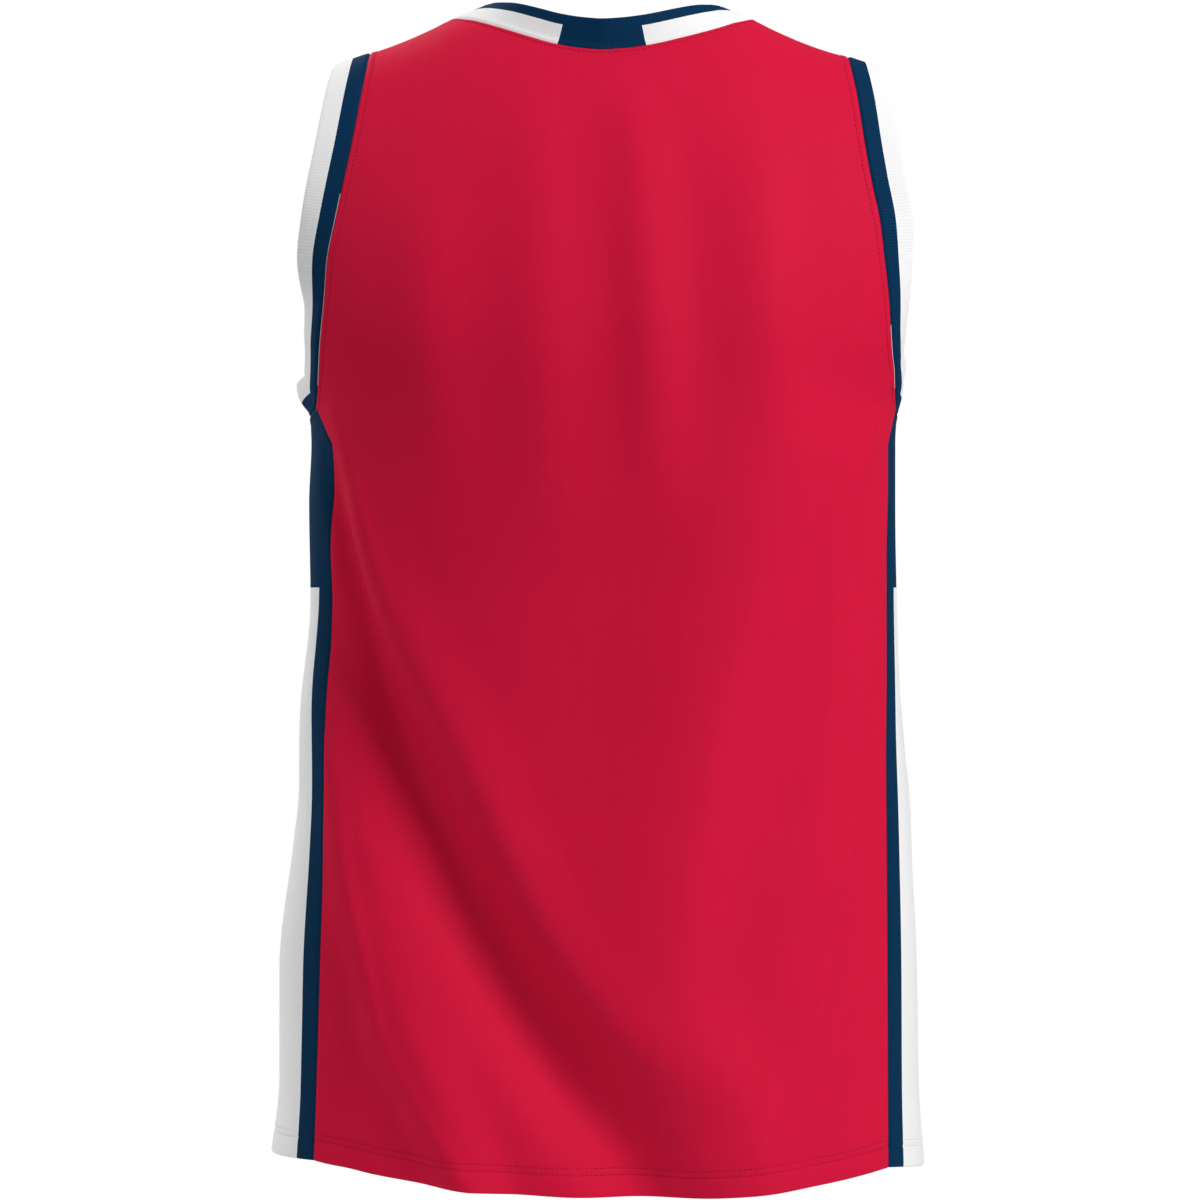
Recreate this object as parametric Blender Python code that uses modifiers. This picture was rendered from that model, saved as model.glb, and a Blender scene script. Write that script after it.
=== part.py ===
"""Sleeveless basketball jersey, filled out as when worn, with nobody in it.

The jersey hangs from its shoulders. +Z is up, the back faces +Y and the wearer's left is +X.
The origin lies on the middle plane, between the shoulders and level with the strap tops.

Seven pieces are cut and sewn: a back and a front panel, two side panels, a rib collar and two rib
armhole trims. Each is a wall of cloth. Its middle surface is worked out from the section tables,
the folds are pushed into that surface, and a Solidify modifier gives it the cloth's thickness.

Sizes and places in the tables are millimetres.
"""
import math

import bmesh
import bpy
import numpy as np

MM = 0.001

# ---- driving sizes -------------------------------------------------------------------------------

KNIT_WALL = 1.6 * MM
RIB_WALL = 2.0 * MM
SEAM_GAP = 0.36 * MM              # clear distance between two pieces along a seam
ROUNDNESS = 2.3                   # exponent of the body's superellipse; 2 would be an ellipse
SHOULDER_ROUNDNESS = 2.1          # the same for the arch that closes it over the shoulders
SLANT_HEIGHT = -264 * MM          # below this the side seams run nearly straight
UNDERARM_HEIGHT = -241 * MM
UNDERARM_DIP = 4 * MM             # sag of the armhole between the side panel's corners
SIDE_PANEL_WIDTH = 150 * MM       # about, under the arm
STRAP_WIDTH = 60 * MM             # about, of the big panels alone
PANEL_RISE = 260 * MM             # about, from the underarm over the cloth to the neck
NECK_HALF = 96.5 * MM             # from the middle plane to the shoulder point of the neck
NECK_CORNER = {"back": 84 * MM, "front": 57 * MM}   # where the neck seam turns across the body
COLLAR_ACROSS = (0, 2, 7, 13.5, 20)         # rows of the collar, from its seam to its edge
TRIM_ACROSS = (0, 2, 8, 15.5, 24)           # the same for the armhole trims

# Cells of the cloth grids. The grid of a big panel covers the body up to the neck's corners, and
# goes on from there as two straps.
ROWS_TO_SLANT = 26
ROWS_OF_SLANT = 2
ROWS_TO_NECK = {"back": 14, "front": 9}
STRAP_ROWS = {"back": 3, "front": 8}
STRAP_COLUMNS = 7
HALF_NECK_COLUMNS = 8
SIDE_COLUMNS = 10
EDGE_CELL = 4 * MM                # narrow cells that lie along the seams
COLUMN_DRIFT = 2                  # how late the columns drift from even spacing to the neck's
NECK_SAMPLES = 120                # points that measure the neck seam
FOLD_STATIONS = 24                # points along the smooth line of a fold

# The body's level sections. Above the underarm the half-widths are those of the surface that the
# panels are cut from, which carries on past the armholes.
BODY = {
    "height": (-730, -670, -600, -520, -490, -440, -363, -300, -262, -241, -230, -215, -200, -150, -100,
               -50, 20),
    "half_left": (215, 208, 208, 199, 196, 195, 188, 189, 187.5, 188.5, 191.5, 197.5, 204.5, 220, 232,
                  239, 246),
    "half_right": (208, 204, 203, 199, 197, 193, 190, 189, 189, 190.5, 193.5, 199.5, 206.5, 223, 236,
                   244, 252),
    "back": (133, 130, 126, 122, 120, 119, 121, 127, 130.5, 132, 132.6, 133.2, 133.5, 131.5, 128,
             125, 122),
    "front": (126, 124, 122, 120, 119, 119, 120, 123, 125, 126, 126.4, 126.7, 126.8, 125, 122,
              119, 116),
}

# Side seams, as distances from the middle plane: a short slant under the arm, then nearly straight.
SIDE_SEAMS = {
    "height":      (-730, -600, -480, -400, -335, -290, -264, -261, -244, -241),
    "back_left":   (181.5, 177.5, 175, 177, 177, 175, 171.5, 172.9, 180.6, 182),
    "back_right":  (180, 180, 180, 181, 181, 182, 182, 182.8, 187.2, 188),
    "front_left":  (181, 180, 179, 179, 179, 178, 178, 178.5, 181.5, 182),
    "front_right": (180, 176, 172, 171, 171, 170, 170, 170.9, 176.1, 177),
}

# Armhole seams, the same way, from the underarm up to the shoulder.
ARMHOLES = {
    "height":      (-241, -236, -224, -200, -175, -150, -125, -100, -73, -45, -20, -12),
    "back_left":   (182, 181, 179.5, 177, 174, 172, 167, 162, 157, 153, 150, 149.5),
    "back_right":  (188, 187, 185.5, 182, 180, 177, 174, 169, 165, 162, 159, 158.5),
    "front_left":  (182, 180, 175, 166, 158, 153, 149, 147, 146, 147, 149, 149.5),
    "front_right": (177, 175.5, 171, 164, 157, 153, 150, 149, 150, 153, 157, 158.5),
}

# The shoulder line, from the middle plane outwards.
SHOULDER = {
    "across": (0, 40, 70, 94, 101, 108, 116, 124, 132, 140, 148, 158, 190),
    "height": (32, 28.5, 21.5, 13, 10, 6.4, 2.7, -0.8, -4, -6.9, -9.4, -12, -20.5),
}

# How far the neck seam drops below the shoulder points, over the share of the half neck width,
# from the right shoulder point to the left one. The front is the same on both sides.
NECK = {
    "across": (-1.0, -0.96, -0.89, -0.80, -0.64, -0.48, -0.32, -0.15, 0,
               0.15, 0.32, 0.48, 0.64, 0.80, 0.89, 0.96, 1.0),
    "back":   (0, 3.1, 5.9, 10.2, 16.1, 21.1, 25.2, 27.9, 29.0,
               27.7, 24.4, 19.2, 13.2, 7.0, 3.6, 1.4, 0),
    "front":  (0, 10, 27, 48, 76, 93, 104, 110, 112,
               110, 104, 93, 76, 48, 27, 10, 0),
}

# The hem's height across the back and front panels, from the right seam to the left one.
HEM = {
    "across": (-1.0, -0.75, -0.5, -0.25, 0.0, 0.5, 1.0),
    "back":   (-719, -725, -729, -731, -730, -724, -714),
    "front":  (-719, -723, -725, -726, -726, -723, -716),
}
HEM_MIDDLE_LEFT = -717 * MM       # and at the middle of the side panels
HEM_MIDDLE_RIGHT = -726 * MM

# Lean of the armhole trim out of the panel's surface, in degrees, at its seam and at its edge.
# "around" runs from the shoulder down the back, under the arm and up the front.
TRIM_LEAN = {
    "around":     (0.00, 0.10, 0.20, 0.27, 0.33, 0.37, 0.42, 0.50, 0.58, 0.66, 0.80, 1.00),
    "root_left":  (-6, 5, 10, 0, -19, -18, -3, 38, 24, 6, 2, -6),
    "edge_left":  (-10, 6, 10, 0, -20, -18, -8, 0, 0, 4, 2, -10),
    "root_right": (-6, 5, 8, -6, -16, -18, -4, 15, 14, 6, 2, -6),
    "edge_right": (-10, 6, 8, -8, -20, -22, -10, -4, 0, 4, 2, -10),
}

# Lean of the collar, in degrees, over its seam's depth from the shoulder line towards the back.
COLLAR_LEAN = {
    "depth": (-110, -60, -20, 0, 20, 40, 55, 75),
    "lean":  (9, 9, 3, -2, 0, 8, 22, 36),
}


# Folds. A path runs over the surface of one face, in rows of (across, height, rise): across is the
# distance to the wearer's left on the back and front, and towards the back on the sides. Its rise
# is positive for a ridge and negative for a trough, and fades out over the width on either hand of
# the path, as seen from outside by someone who walks along it.
FOLDS = (
    ("drag under the left arm", "back", 30, 24,
     ((177, -262, 0), (172, -296, -5.5), (165, -340, -9), (154, -385, -7), (140, -430, -3.5),
      (122, -475, 0))),
    ("left drag to the hem", "back", 50, 60,
     ((182, -240, 0), (179, -296, -2.5), (172, -340, -6), (160, -388, -14), (139, -438, -21),
      (118, -482, -23), (90, -541, -22), (52, -612, -17), (22, -655, -13), (-8, -692, -10),
      (-38, -745, -8))),
    ("sweep across the hem", "back", 92, 56,
     ((110, -510, 0), (66, -590, -5), (38, -630, -8), (14, -664, -10), (-10, -694, -10), (-36, -745, -10))),
    ("ridge below the drag", "back", 40, 44,
     ((166, -478, 0), (155, -528, 2.5), (141, -578, 5), (121, -627, 8), (100, -670, 11), (74, -745, 13))),
    ("hang of the right blade", "back", 60, 110,
     ((-156, -244, 0), (-130, -276, 5), (-106, -316, 8), (-86, -366, 10), (-69, -420, 10.5),
      (-57, -480, 10), (-46, -540, 9), (-40, -600, 8), (-58, -640, 8), (-84, -680, 7.5), (-96, -745, 7))),
    ("left blade ridge", "back", 40, 46, ((113, -95, 0), (110, -150, 3), (108, -205, 3), (96, -300, 0))),
    ("ridge left of the spine", "back", 40, 44,
     ((44, -30, 0), (42, -100, 2.8), (37, -190, 3.4), (36, -250, 2.8), (34, -340, 0))),
    ("ridge right of the spine", "back", 40, 34,
     ((-16, -30, 0), (-21, -80, 4.4), (-27, -170, 5), (-32, -240, 3.6), (-36, -330, 0))),
    ("right blade ridge", "back", 44, 56,
     ((-96, -60, 0), (-98, -120, 5), (-102, -190, 6), (-106, -290, 0))),
    ("right under-arm pleat", "back", 32, 32,
     ((-176, -238, 0), (-164, -264, 2.2), (-155, -300, 2.4), (-149, -363, 2.4), (-142, -440, 2),
      (-132, -500, 1.8), (-118, -560, 1.4), (-106, -620, 0))),
    ("left drag of the front", "front", 46, 72,
     ((165, -268, 0), (152, -340, -6), (128, -440, -9), (92, -540, -10), (62, -640, -9), (48, -745, -8))),
    ("right drag of the front", "front", 60, 44,
     ((-162, -275, 0), (-150, -360, -4), (-130, -470, -6), (-118, -600, -6), (-112, -745, -5))),
    ("hang of the chest", "front", 80, 80,
     ((8, -170, 0), (14, -300, 3), (6, -470, 4), (-10, -620, 4), (-14, -745, 4))),
    ("left side hollow", "left", 46, 50,
     ((-22, -300, 0), (-30, -430, -3), (-36, -590, -4), (-30, -745, -4))),
    ("right side hollow", "right", 48, 46,
     ((-40, -300, 0), (-34, -450, -3), (-28, -600, -4), (-34, -745, -3))),
)

# ---- reading the tables --------------------------------------------------------------------------


def read_table(table, key, column, at):
    """Smooth values of one column of a table, with no overshoot between its rows."""
    xs = np.asarray(table[key], float)
    ys = np.asarray(table[column], float)
    secants = np.diff(ys) / np.diff(xs)
    slopes = np.concatenate([secants[:1], np.zeros(len(xs) - 2), secants[-1:]])
    before, after = secants[:-1], secants[1:]
    same_way = before * after > 0
    total = np.where(same_way, before + after, 1.0)
    slopes[1:-1] = np.where(same_way, 2 * before * after / total, 0.0)
    at = np.asarray(at, float)
    row = np.clip(np.searchsorted(xs, at, side="right") - 1, 0, len(xs) - 2)
    span = xs[row + 1] - xs[row]
    t = np.clip((at - xs[row]) / span, 0.0, 1.0)
    hold, ease = (1 + 2 * t) * (1 - t) ** 2, t * t * (3 - 2 * t)
    leave, arrive = t * (1 - t) ** 2, t * t * (t - 1)
    return hold * ys[row] + ease * ys[row + 1] + span * (leave * slopes[row] + arrive * slopes[row + 1])


def size_at(table, column, at):
    """A column of a table keyed by height, both in metres."""
    return read_table(table, "height", column, np.asarray(at) / MM) * MM


def ease(t):
    """A soft step from 0 to 1."""
    t = np.clip(t, 0.0, 1.0)
    return t * t * (3 - 2 * t)


def unit(vectors):
    """Vectors brought to length one."""
    length = np.linalg.norm(vectors, axis=-1, keepdims=True)
    return vectors / np.maximum(length, 1e-12)


# ---- the body's surface --------------------------------------------------------------------------


def shoulder_height(x):
    """Height of the shoulder line over a distance from the middle plane."""
    return read_table(SHOULDER, "across", "height", np.abs(x) / MM) * MM


def half_width(left, height):
    """Half-width of a level section, to the wearer's left where left is true."""
    return np.where(left, size_at(BODY, "half_left", height), size_at(BODY, "half_right", height))


def half_depth(back, height):
    """Half-depth of a level section, to the back where back is true."""
    return np.where(back, size_at(BODY, "back", height), size_at(BODY, "front", height))


def rise_share(x, height):
    """How far a height is up from the underarm to the shoulder line over x, from 0 to 1."""
    share = (height - UNDERARM_HEIGHT) / (shoulder_height(x) - UNDERARM_HEIGHT)
    return np.clip(share, 0.0, 1.0)


def arch(share):
    """The share of its depth that the body keeps at a share of the rise to the shoulder."""
    return np.maximum(1 - share ** SHOULDER_ROUNDNESS, 0.0) ** (1 / SHOULDER_ROUNDNESS)


def angle_of_width(x, back, height):
    """Angle round the body, from the wearer's left, of a point x from the middle plane."""
    reach = np.clip(np.abs(x) / half_width(x > 0, height), 0.0, 1.0)
    turn = np.arccos(reach ** (ROUNDNESS / 2))
    turn = np.where(x > 0, turn, math.pi - turn)
    return np.where(back, turn, -turn)


def angle_of_depth(y, left, height):
    """The same for a point on a side, y from the plane between front and back."""
    reach = np.clip(np.abs(y) / half_depth(y > 0, height), 0.0, 1.0)
    turn = np.arcsin(reach ** (ROUNDNESS / 2)) * np.sign(y)
    return np.where(left, turn, math.pi - turn)


def body_point(angle, height):
    """Point of the body's surface at an angle round it and a height."""
    cos, sin = np.cos(angle), np.sin(angle)
    x = half_width(cos > 0, height) * np.sign(cos) * np.abs(cos) ** (2 / ROUNDNESS)
    depth = half_depth(sin > 0, height) * arch(rise_share(x, height))
    y = depth * np.sign(sin) * np.abs(sin) ** (2 / ROUNDNESS)
    return np.stack([x, y, height + 0 * x], axis=-1)


def body_outward(angle, height):
    """Direction that points out of the body there, of length one."""
    cos, sin = np.cos(angle), np.sin(angle)
    width, depth = half_width(cos > 0, height), half_depth(sin > 0, height)
    level = np.stack([
        np.sign(cos) * np.abs(cos) ** (2 - 2 / ROUNDNESS) / width,
        np.sign(sin) * np.abs(sin) ** (2 - 2 / ROUNDNESS) / depth,
        0 * cos], axis=-1)
    x = width * np.sign(cos) * np.abs(cos) ** (2 / ROUNDNESS)
    share = rise_share(x, height)
    over = np.abs(sin) ** (2 / ROUNDNESS) * depth / (shoulder_height(x) - UNDERARM_HEIGHT)
    upright = share ** (SHOULDER_ROUNDNESS - 1) * over
    flat = arch(share) ** (SHOULDER_ROUNDNESS - 1)
    return unit(unit(level) * flat[..., None] + np.stack([0 * cos, 0 * cos, upright], axis=-1))


# ---- folds ---------------------------------------------------------------------------------------


def face_angle(face, across, height):
    """Angle round the body of a place on one of its four faces."""
    if face in ("back", "front"):
        return angle_of_width(across, face == "back", height)
    return angle_of_depth(across, face == "left", height)


def fold_line(face, path):
    """Smooth line of a fold on the body, with its rise at each station."""
    rows = np.array(path, float) * MM
    legs = np.linalg.norm(np.diff(rows[:, :2], axis=0), axis=1)
    along = np.concatenate([[0.0], np.cumsum(legs)])
    stations = np.linspace(0.0, along[-1], FOLD_STATIONS)
    table = {"along": along, "across": rows[:, 0], "height": rows[:, 1], "rise": rows[:, 2]}
    across, height, rise = (read_table(table, "along", name, stations)
                            for name in ("across", "height", "rise"))
    return body_point(face_angle(face, across, height), height), rise


def fold_rise(points, outward, fold):
    """How far one fold lifts each point along its outward direction."""
    _, face, left_width, right_width, path = fold
    line, rise = fold_line(face, path)
    start, leg = line[:-1], np.diff(line, axis=0)
    offset = points[:, None, :] - start[None]
    t = np.clip((offset * leg).sum(-1) / (leg * leg).sum(-1), 0.0, 1.0)
    offset = offset - t[..., None] * leg
    distance = np.linalg.norm(offset, axis=-1)
    nearest = distance.argmin(axis=1)
    pick = np.arange(len(points))
    distance, t, offset = distance[pick, nearest], t[pick, nearest], offset[pick, nearest]
    on_left = (np.cross(outward, leg[nearest]) * offset).sum(-1) > 0
    width = np.where(on_left, left_width, right_width) * MM
    share = np.minimum(distance / width, 1.0)
    height = rise[nearest] * (1 - t) + rise[nearest + 1] * t
    return height * (1 - share ** 2) ** 4


def cloth_points(angle, height):
    """Points of the cloth's middle surface, folds included."""
    points, outward = (part.reshape(-1, 3) for part in (body_point(angle, height),
                                                        body_outward(angle, height)))
    rise = sum(fold_rise(points, outward, fold) for fold in FOLDS)
    return (points + outward * rise[:, None]).reshape(angle.shape + (3,))


def grid_normals(points):
    """Outward normals of a grid of points."""
    return unit(np.cross(np.gradient(points, axis=1), np.gradient(points, axis=0)))


# ---- the panels' grids ---------------------------------------------------------------------------


def seam_half(face, left, height):
    """Distance of a panel's edge from the middle plane: side seam below, armhole above."""
    side = "left" if left else "right"
    column = face + "_" + side
    return np.where(height < UNDERARM_HEIGHT,
                    size_at(SIDE_SEAMS, column, height), size_at(ARMHOLES, column, height))


def lower_heights(hem, top):
    """Heights of the rows from the hem to the underarm, over each column."""
    to_slant = np.linspace(0, 1, ROWS_TO_SLANT + 1)[:, None]
    of_slant = np.linspace(0, 1, ROWS_OF_SLANT + 1)[1:, None]
    lower = hem + (SLANT_HEIGHT - hem) * to_slant
    upper = SLANT_HEIGHT + (np.broadcast_to(top, hem.shape) - SLANT_HEIGHT) * of_slant
    return np.concatenate([lower, upper])


def climb_height(x, climb):
    """Height at an angle of climb, from 0 at the underarm to a right angle on the shoulder line."""
    return UNDERARM_HEIGHT + (shoulder_height(x) - UNDERARM_HEIGHT) * np.sin(climb)


def armhole_at_climb(face, left, climb):
    """Distance of the armhole seam from the middle plane at an angle of climb."""
    x = seam_half(face, left, UNDERARM_HEIGHT + 0 * climb)
    for _ in range(8):
        x = seam_half(face, left, climb_height(x, climb))
    return x


def neck_line(face, left):
    """Half the neck seam, from its shoulder point down: distance across, climb and length."""
    share = np.cos(np.linspace(0, math.pi / 2, NECK_SAMPLES))
    x = NECK_HALF * share
    drop = read_table(NECK, "across", face, share if left else -share) * MM
    height = shoulder_height(NECK_HALF) - drop
    climb = np.arcsin(rise_share(x, height))
    line = body_point(angle_of_width(x, face == "back", height), height)
    length = np.concatenate([[0.0], np.cumsum(np.linalg.norm(np.diff(line, axis=0), axis=1))])
    return x, climb, length


def half_panel(face, left):
    """Distances across and heights of half a big panel: rows up, columns from the edge inwards.

    Above the neck's corner only the strap's columns are real.
    """
    neck_x, neck_climb, neck_length = neck_line(face, left)
    corner = NECK_CORNER[face]
    corner_climb, corner_length = (float(np.interp(corner, neck_x[::-1], values[::-1]))
                                   for values in (neck_climb, neck_length))
    lengths = np.linspace(corner_length, neck_length[-1], HALF_NECK_COLUMNS + 1)[1:]
    cell = EDGE_CELL / STRAP_WIDTH
    strap = np.concatenate([[0.0], np.linspace(cell, 1 - cell, STRAP_COLUMNS - 1), [1.0]])
    top_climb = np.append(np.full(len(strap), corner_climb), np.interp(lengths, neck_length, neck_climb))
    corner_share = corner / armhole_at_climb(face, left, corner_climb)
    neck_share = np.interp(lengths, neck_length, neck_x)
    neck_share = neck_share / armhole_at_climb(face, left, top_climb[len(strap):])
    top_share = np.append(1 + (corner_share - 1) * strap, neck_share)
    inner = 1 - EDGE_CELL / seam_half(face, left, SLANT_HEIGHT)
    low_share = np.append([1.0], np.linspace(inner, 0, len(top_share) - 1))
    hem = read_table(HEM, "across", face, low_share if left else -low_share) * MM
    heights = lower_heights(hem, UNDERARM_HEIGHT)
    climb = np.linspace(0, 1 - EDGE_CELL / PANEL_RISE, ROWS_TO_NECK[face])[1:]
    climb = np.append(climb, 1.0)[:, None] * top_climb
    edge = np.concatenate([seam_half(face, left, heights), armhole_at_climb(face, left, climb)])
    drift = np.linspace(0, 1, len(edge))[:, None] ** COLUMN_DRIFT
    across = (low_share + (top_share - low_share) * drift) * edge
    heights = np.concatenate([heights, climb_height(across[len(heights):], climb)])
    strap_across, strap_heights = strap_rows(face, left, strap, corner_climb, (neck_x, neck_climb))
    blank = ((0, 0), (0, HALF_NECK_COLUMNS))
    return (np.concatenate([across, np.pad(strap_across, blank, mode="edge")]),
            np.concatenate([heights, np.pad(strap_heights, blank, mode="edge")]))


def strap_rows(face, left, strap, corner_climb, neck):
    """Distances across and heights of a strap's rows, from the neck's corner to the shoulder."""
    neck_x, neck_climb = neck
    last = math.pi / 2 - EDGE_CELL / half_depth(face == "back", 0.0)
    climb = np.append(np.linspace(corner_climb, last, STRAP_ROWS[face])[1:], math.pi / 2)
    outer = armhole_at_climb(face, left, climb)
    inner = np.interp(climb, neck_climb[::-1], neck_x[::-1])
    across = outer[:, None] + (inner - outer)[:, None] * strap
    return across, climb_height(across, climb[:, None])


def big_panel(face):
    """Angles and heights of the back or front panel: rows up, columns round the body to the left."""
    (left_x, left_z), (right_x, right_z) = (half_panel(face, left) for left in (True, False))
    across = np.concatenate([left_x, -right_x[:, -2::-1]], axis=1)
    heights = np.concatenate([left_z, right_z[:, -2::-1]], axis=1)
    angles = angle_of_width(across, face == "back", heights)
    step = 1 if face == "back" else -1
    return angles[:, ::step], heights[:, ::step]


def side_panel(left):
    """Angles and heights of a side panel, in the same order."""
    edge_cell = EDGE_CELL / SIDE_PANEL_WIDTH
    inner = np.linspace(edge_cell, 1 - edge_cell, SIDE_COLUMNS - 1)
    across = np.concatenate([[0.0], inner, [1.0]])
    sign = 1 if left else -1
    front_hem, back_hem = (read_table(HEM, "across", face, sign) * MM for face in ("front", "back"))
    middle = HEM_MIDDLE_LEFT if left else HEM_MIDDLE_RIGHT
    edge_to_edge = {"across": (0, 0.5, 1), "hem": (front_hem, middle, back_hem)}
    hem = read_table(edge_to_edge, "across", "hem", across)
    top = UNDERARM_HEIGHT - UNDERARM_DIP * np.sin(math.pi * across)
    heights = lower_heights(hem, top)
    front, back = (angle_of_width(sign * seam_half(face, left, heights[:, column]), face == "back",
                                  heights[:, column])
                   for face, column in (("front", 0), ("back", -1)))
    if not left:
        front = front + 2 * math.pi
    angles = front[:, None] + (back - front)[:, None] * across
    return angles[:, ::sign], heights[:, ::sign]


# ---- sheets: the points and normals of each panel ------------------------------------------------

UNDERARM_ROW = ROWS_TO_SLANT + ROWS_OF_SLANT
STRAP_BLOCKS = (slice(0, STRAP_COLUMNS + 1), slice(-STRAP_COLUMNS - 1, None))


def corner_row(face):
    """The row of a big panel that holds the neck's corners."""
    return UNDERARM_ROW + ROWS_TO_NECK[face]


def top_row(face):
    """The row of a big panel that lies on the shoulder line."""
    return corner_row(face) + STRAP_ROWS[face]


def make_sheet(face):
    """Points and outward normals of one panel."""
    if face in ("left", "right"):
        points = cloth_points(*side_panel(face == "left"))
        return points, grid_normals(points)
    points = cloth_points(*big_panel(face))
    row = corner_row(face)
    normals = np.zeros_like(points)
    normals[:row + 1] = grid_normals(points[:row + 1])
    for columns in STRAP_BLOCKS:
        normals[row + 1:, columns] = grid_normals(points[row:, columns])[1:]
    return points, normals


# ---- seams and bands -----------------------------------------------------------------------------


def armhole_stations(left):
    """Places (panel, row, column) at each station round an armhole, from the shoulder.

    The opening lies on the left hand: down the front of the left armhole, down the back of the
    right one. Where two panels meet, a station has a place on each.
    """
    first, second, side = ("front", "back", "left") if left else ("back", "front", "right")
    down = [[(first, row, -1)] for row in range(top_row(first), UNDERARM_ROW, -1)]
    under = [[(side, UNDERARM_ROW, column)] for column in range(SIDE_COLUMNS + 1)]
    up = [[(second, row, 0)] for row in range(UNDERARM_ROW + 1, top_row(second))]
    down[0].append((second, top_row(second), 0))
    under[0].append((first, UNDERARM_ROW, -1))
    under[-1].append((second, UNDERARM_ROW, 0))
    return down + under + up


def neck_stations():
    """The same round the neck, from the left shoulder point over the back."""
    stations = []
    left, right = STRAP_COLUMNS, STRAP_COLUMNS + 2 * HALF_NECK_COLUMNS
    for face, other in (("back", "front"), ("front", "back")):
        corner, top = corner_row(face), top_row(face)
        stations.append([(face, top, left), (other, top_row(other), right)])
        stations += [[(face, row, left)] for row in range(top - 1, corner, -1)]
        stations += [[(face, corner, column)] for column in range(left, right + 1)]
        stations += [[(face, row, right)] for row in range(corner + 1, top)]
    return stations


def seam_frame(sheets, stations):
    """Points of a closed seam, with the directions into its opening and out of the cloth."""
    seam = np.array([sheets[places[0][0]][0][places[0][1:]] for places in stations])
    out = np.array([sum(sheets[face][1][row, column] for face, row, column in places)
                    for places in stations])
    out = unit(unit(out) + (unit(np.roll(out, 1, axis=0)) + unit(np.roll(out, -1, axis=0))) / 2)
    along = unit(np.roll(seam, -1, axis=0) - np.roll(seam, 1, axis=0))
    out = unit(out - along * (out * along).sum(-1, keepdims=True))
    return seam, np.cross(out, along), out


def half_gap(line, inner):
    """Shifts that take an edge of a grid half the seam gap towards the points inside it."""
    along = unit(np.gradient(line, axis=0))
    inward = inner - line
    return unit(inward - along * (inward * along).sum(-1, keepdims=True)) * SEAM_GAP / 2


def panels_with_gaps(sheets, loops):
    """The panels' points, with every edge that is sewn drawn back by half the seam gap."""
    panels = {face: points.copy() for face, (points, _) in sheets.items()}
    sewn = slice(0, UNDERARM_ROW + 1)
    for face, (points, _) in sheets.items():
        for edge, inner in ((0, 1), (-1, -2)):
            panels[face][sewn, edge] += half_gap(points[sewn, edge], points[sewn, inner])
    for face in ("back", "front"):
        points = sheets[face][0]
        for columns in STRAP_BLOCKS:
            panels[face][-1, columns] += half_gap(points[-1, columns], points[-2, columns])
    for stations, (_, into, _) in loops:
        for places, direction in zip(stations, into):
            for face, row, column in places:
                panels[face][row, column] -= direction * SEAM_GAP / 2
    return panels


def band(frame, across, root_lean, edge_lean):
    """Rows of a rib band that grows from a closed seam into its opening.

    The band starts flush with the panels. Past its first row it leans out of their surface, by an
    angle that goes from root_lean to edge_lean, in degrees at each station of the seam.
    """
    seam, into, out = frame
    rows = [seam + into * SEAM_GAP / 2]
    root, edge = np.radians(root_lean)[:, None], np.radians(edge_lean)[:, None]
    steps = np.diff(across) * MM
    for number, step in enumerate(steps):
        share = ease((number - 1) / (len(steps) - 2))
        lean = (root + (edge - root) * share) * min(number, 1)
        rows.append(rows[-1] + step * (np.cos(lean) * into + np.sin(lean) * out))
    return np.array(rows)


def share_along(loop):
    """Share of a closed loop's length at each of its points."""
    legs = np.linalg.norm(np.roll(loop, -1, axis=0) - loop, axis=1)
    return np.concatenate([[0.0], np.cumsum(legs)[:-1]]) / legs.sum()


# ---- objects -------------------------------------------------------------------------------------


def linear(channel):
    """An sRGB channel from 0 to 255, as linear light."""
    share = channel / 255
    return share / 12.92 if share <= 0.04045 else ((share + 0.055) / 1.055) ** 2.4


def cloth_material(name, colour, roughness):
    """A plain cloth finish in an sRGB colour."""
    material = bpy.data.materials.new(name)
    material.use_nodes = True
    shader = material.node_tree.nodes["Principled BSDF"]
    shader.inputs["Base Color"].default_value = [linear(value) for value in colour] + [1.0]
    shader.inputs["Roughness"].default_value = roughness
    shader.inputs["Metallic"].default_value = 0.0
    return material


def cloth_object(name, grid, wall, material, kept=None, closed=False):
    """A wall of cloth over a grid of points, rows by columns.

    Points that are not kept are left out. A closed grid joins its last column to its first.
    """
    if closed:
        grid = np.concatenate([grid, grid[:, :1]], axis=1)
    rows, columns = grid.shape[:2]
    bm = bmesh.new()
    bmesh.ops.create_grid(bm, x_segments=columns - 1, y_segments=rows - 1, size=1)
    for vert, point in zip(bm.verts, grid.reshape(-1, 3)):
        vert.co = point
    if kept is not None:
        spare = [vert for vert, keep in zip(bm.verts, kept.reshape(-1)) if not keep]
        bmesh.ops.delete(bm, geom=spare, context="VERTS")
    if closed:
        bmesh.ops.remove_doubles(bm, verts=bm.verts, dist=0.01 * MM)
    mesh = bpy.data.meshes.new(name)
    bm.to_mesh(mesh)
    bm.free()
    mesh.shade_smooth()
    mesh.materials.append(material)
    piece = bpy.data.objects.new(name, mesh)
    solidify = piece.modifiers.new("cloth thickness", "SOLIDIFY")
    solidify.thickness = wall
    solidify.offset = 0
    return piece


def below_neck(face, panel):
    """Which points of a big panel's grid are cloth: all but those between its straps."""
    kept = np.ones(panel.shape[:2], bool)
    kept[corner_row(face) + 1:, STRAP_COLUMNS + 1:-STRAP_COLUMNS - 1] = False
    return kept


def make_collar(stations, frame, material):
    """The collar band, with the lean that its table gives."""
    lean = read_table(COLLAR_LEAN, "depth", "lean", frame[0][:, 1] / MM)
    return cloth_object("collar_band", band(frame, COLLAR_ACROSS, lean, lean), RIB_WALL, material,
                        closed=True)


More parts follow.
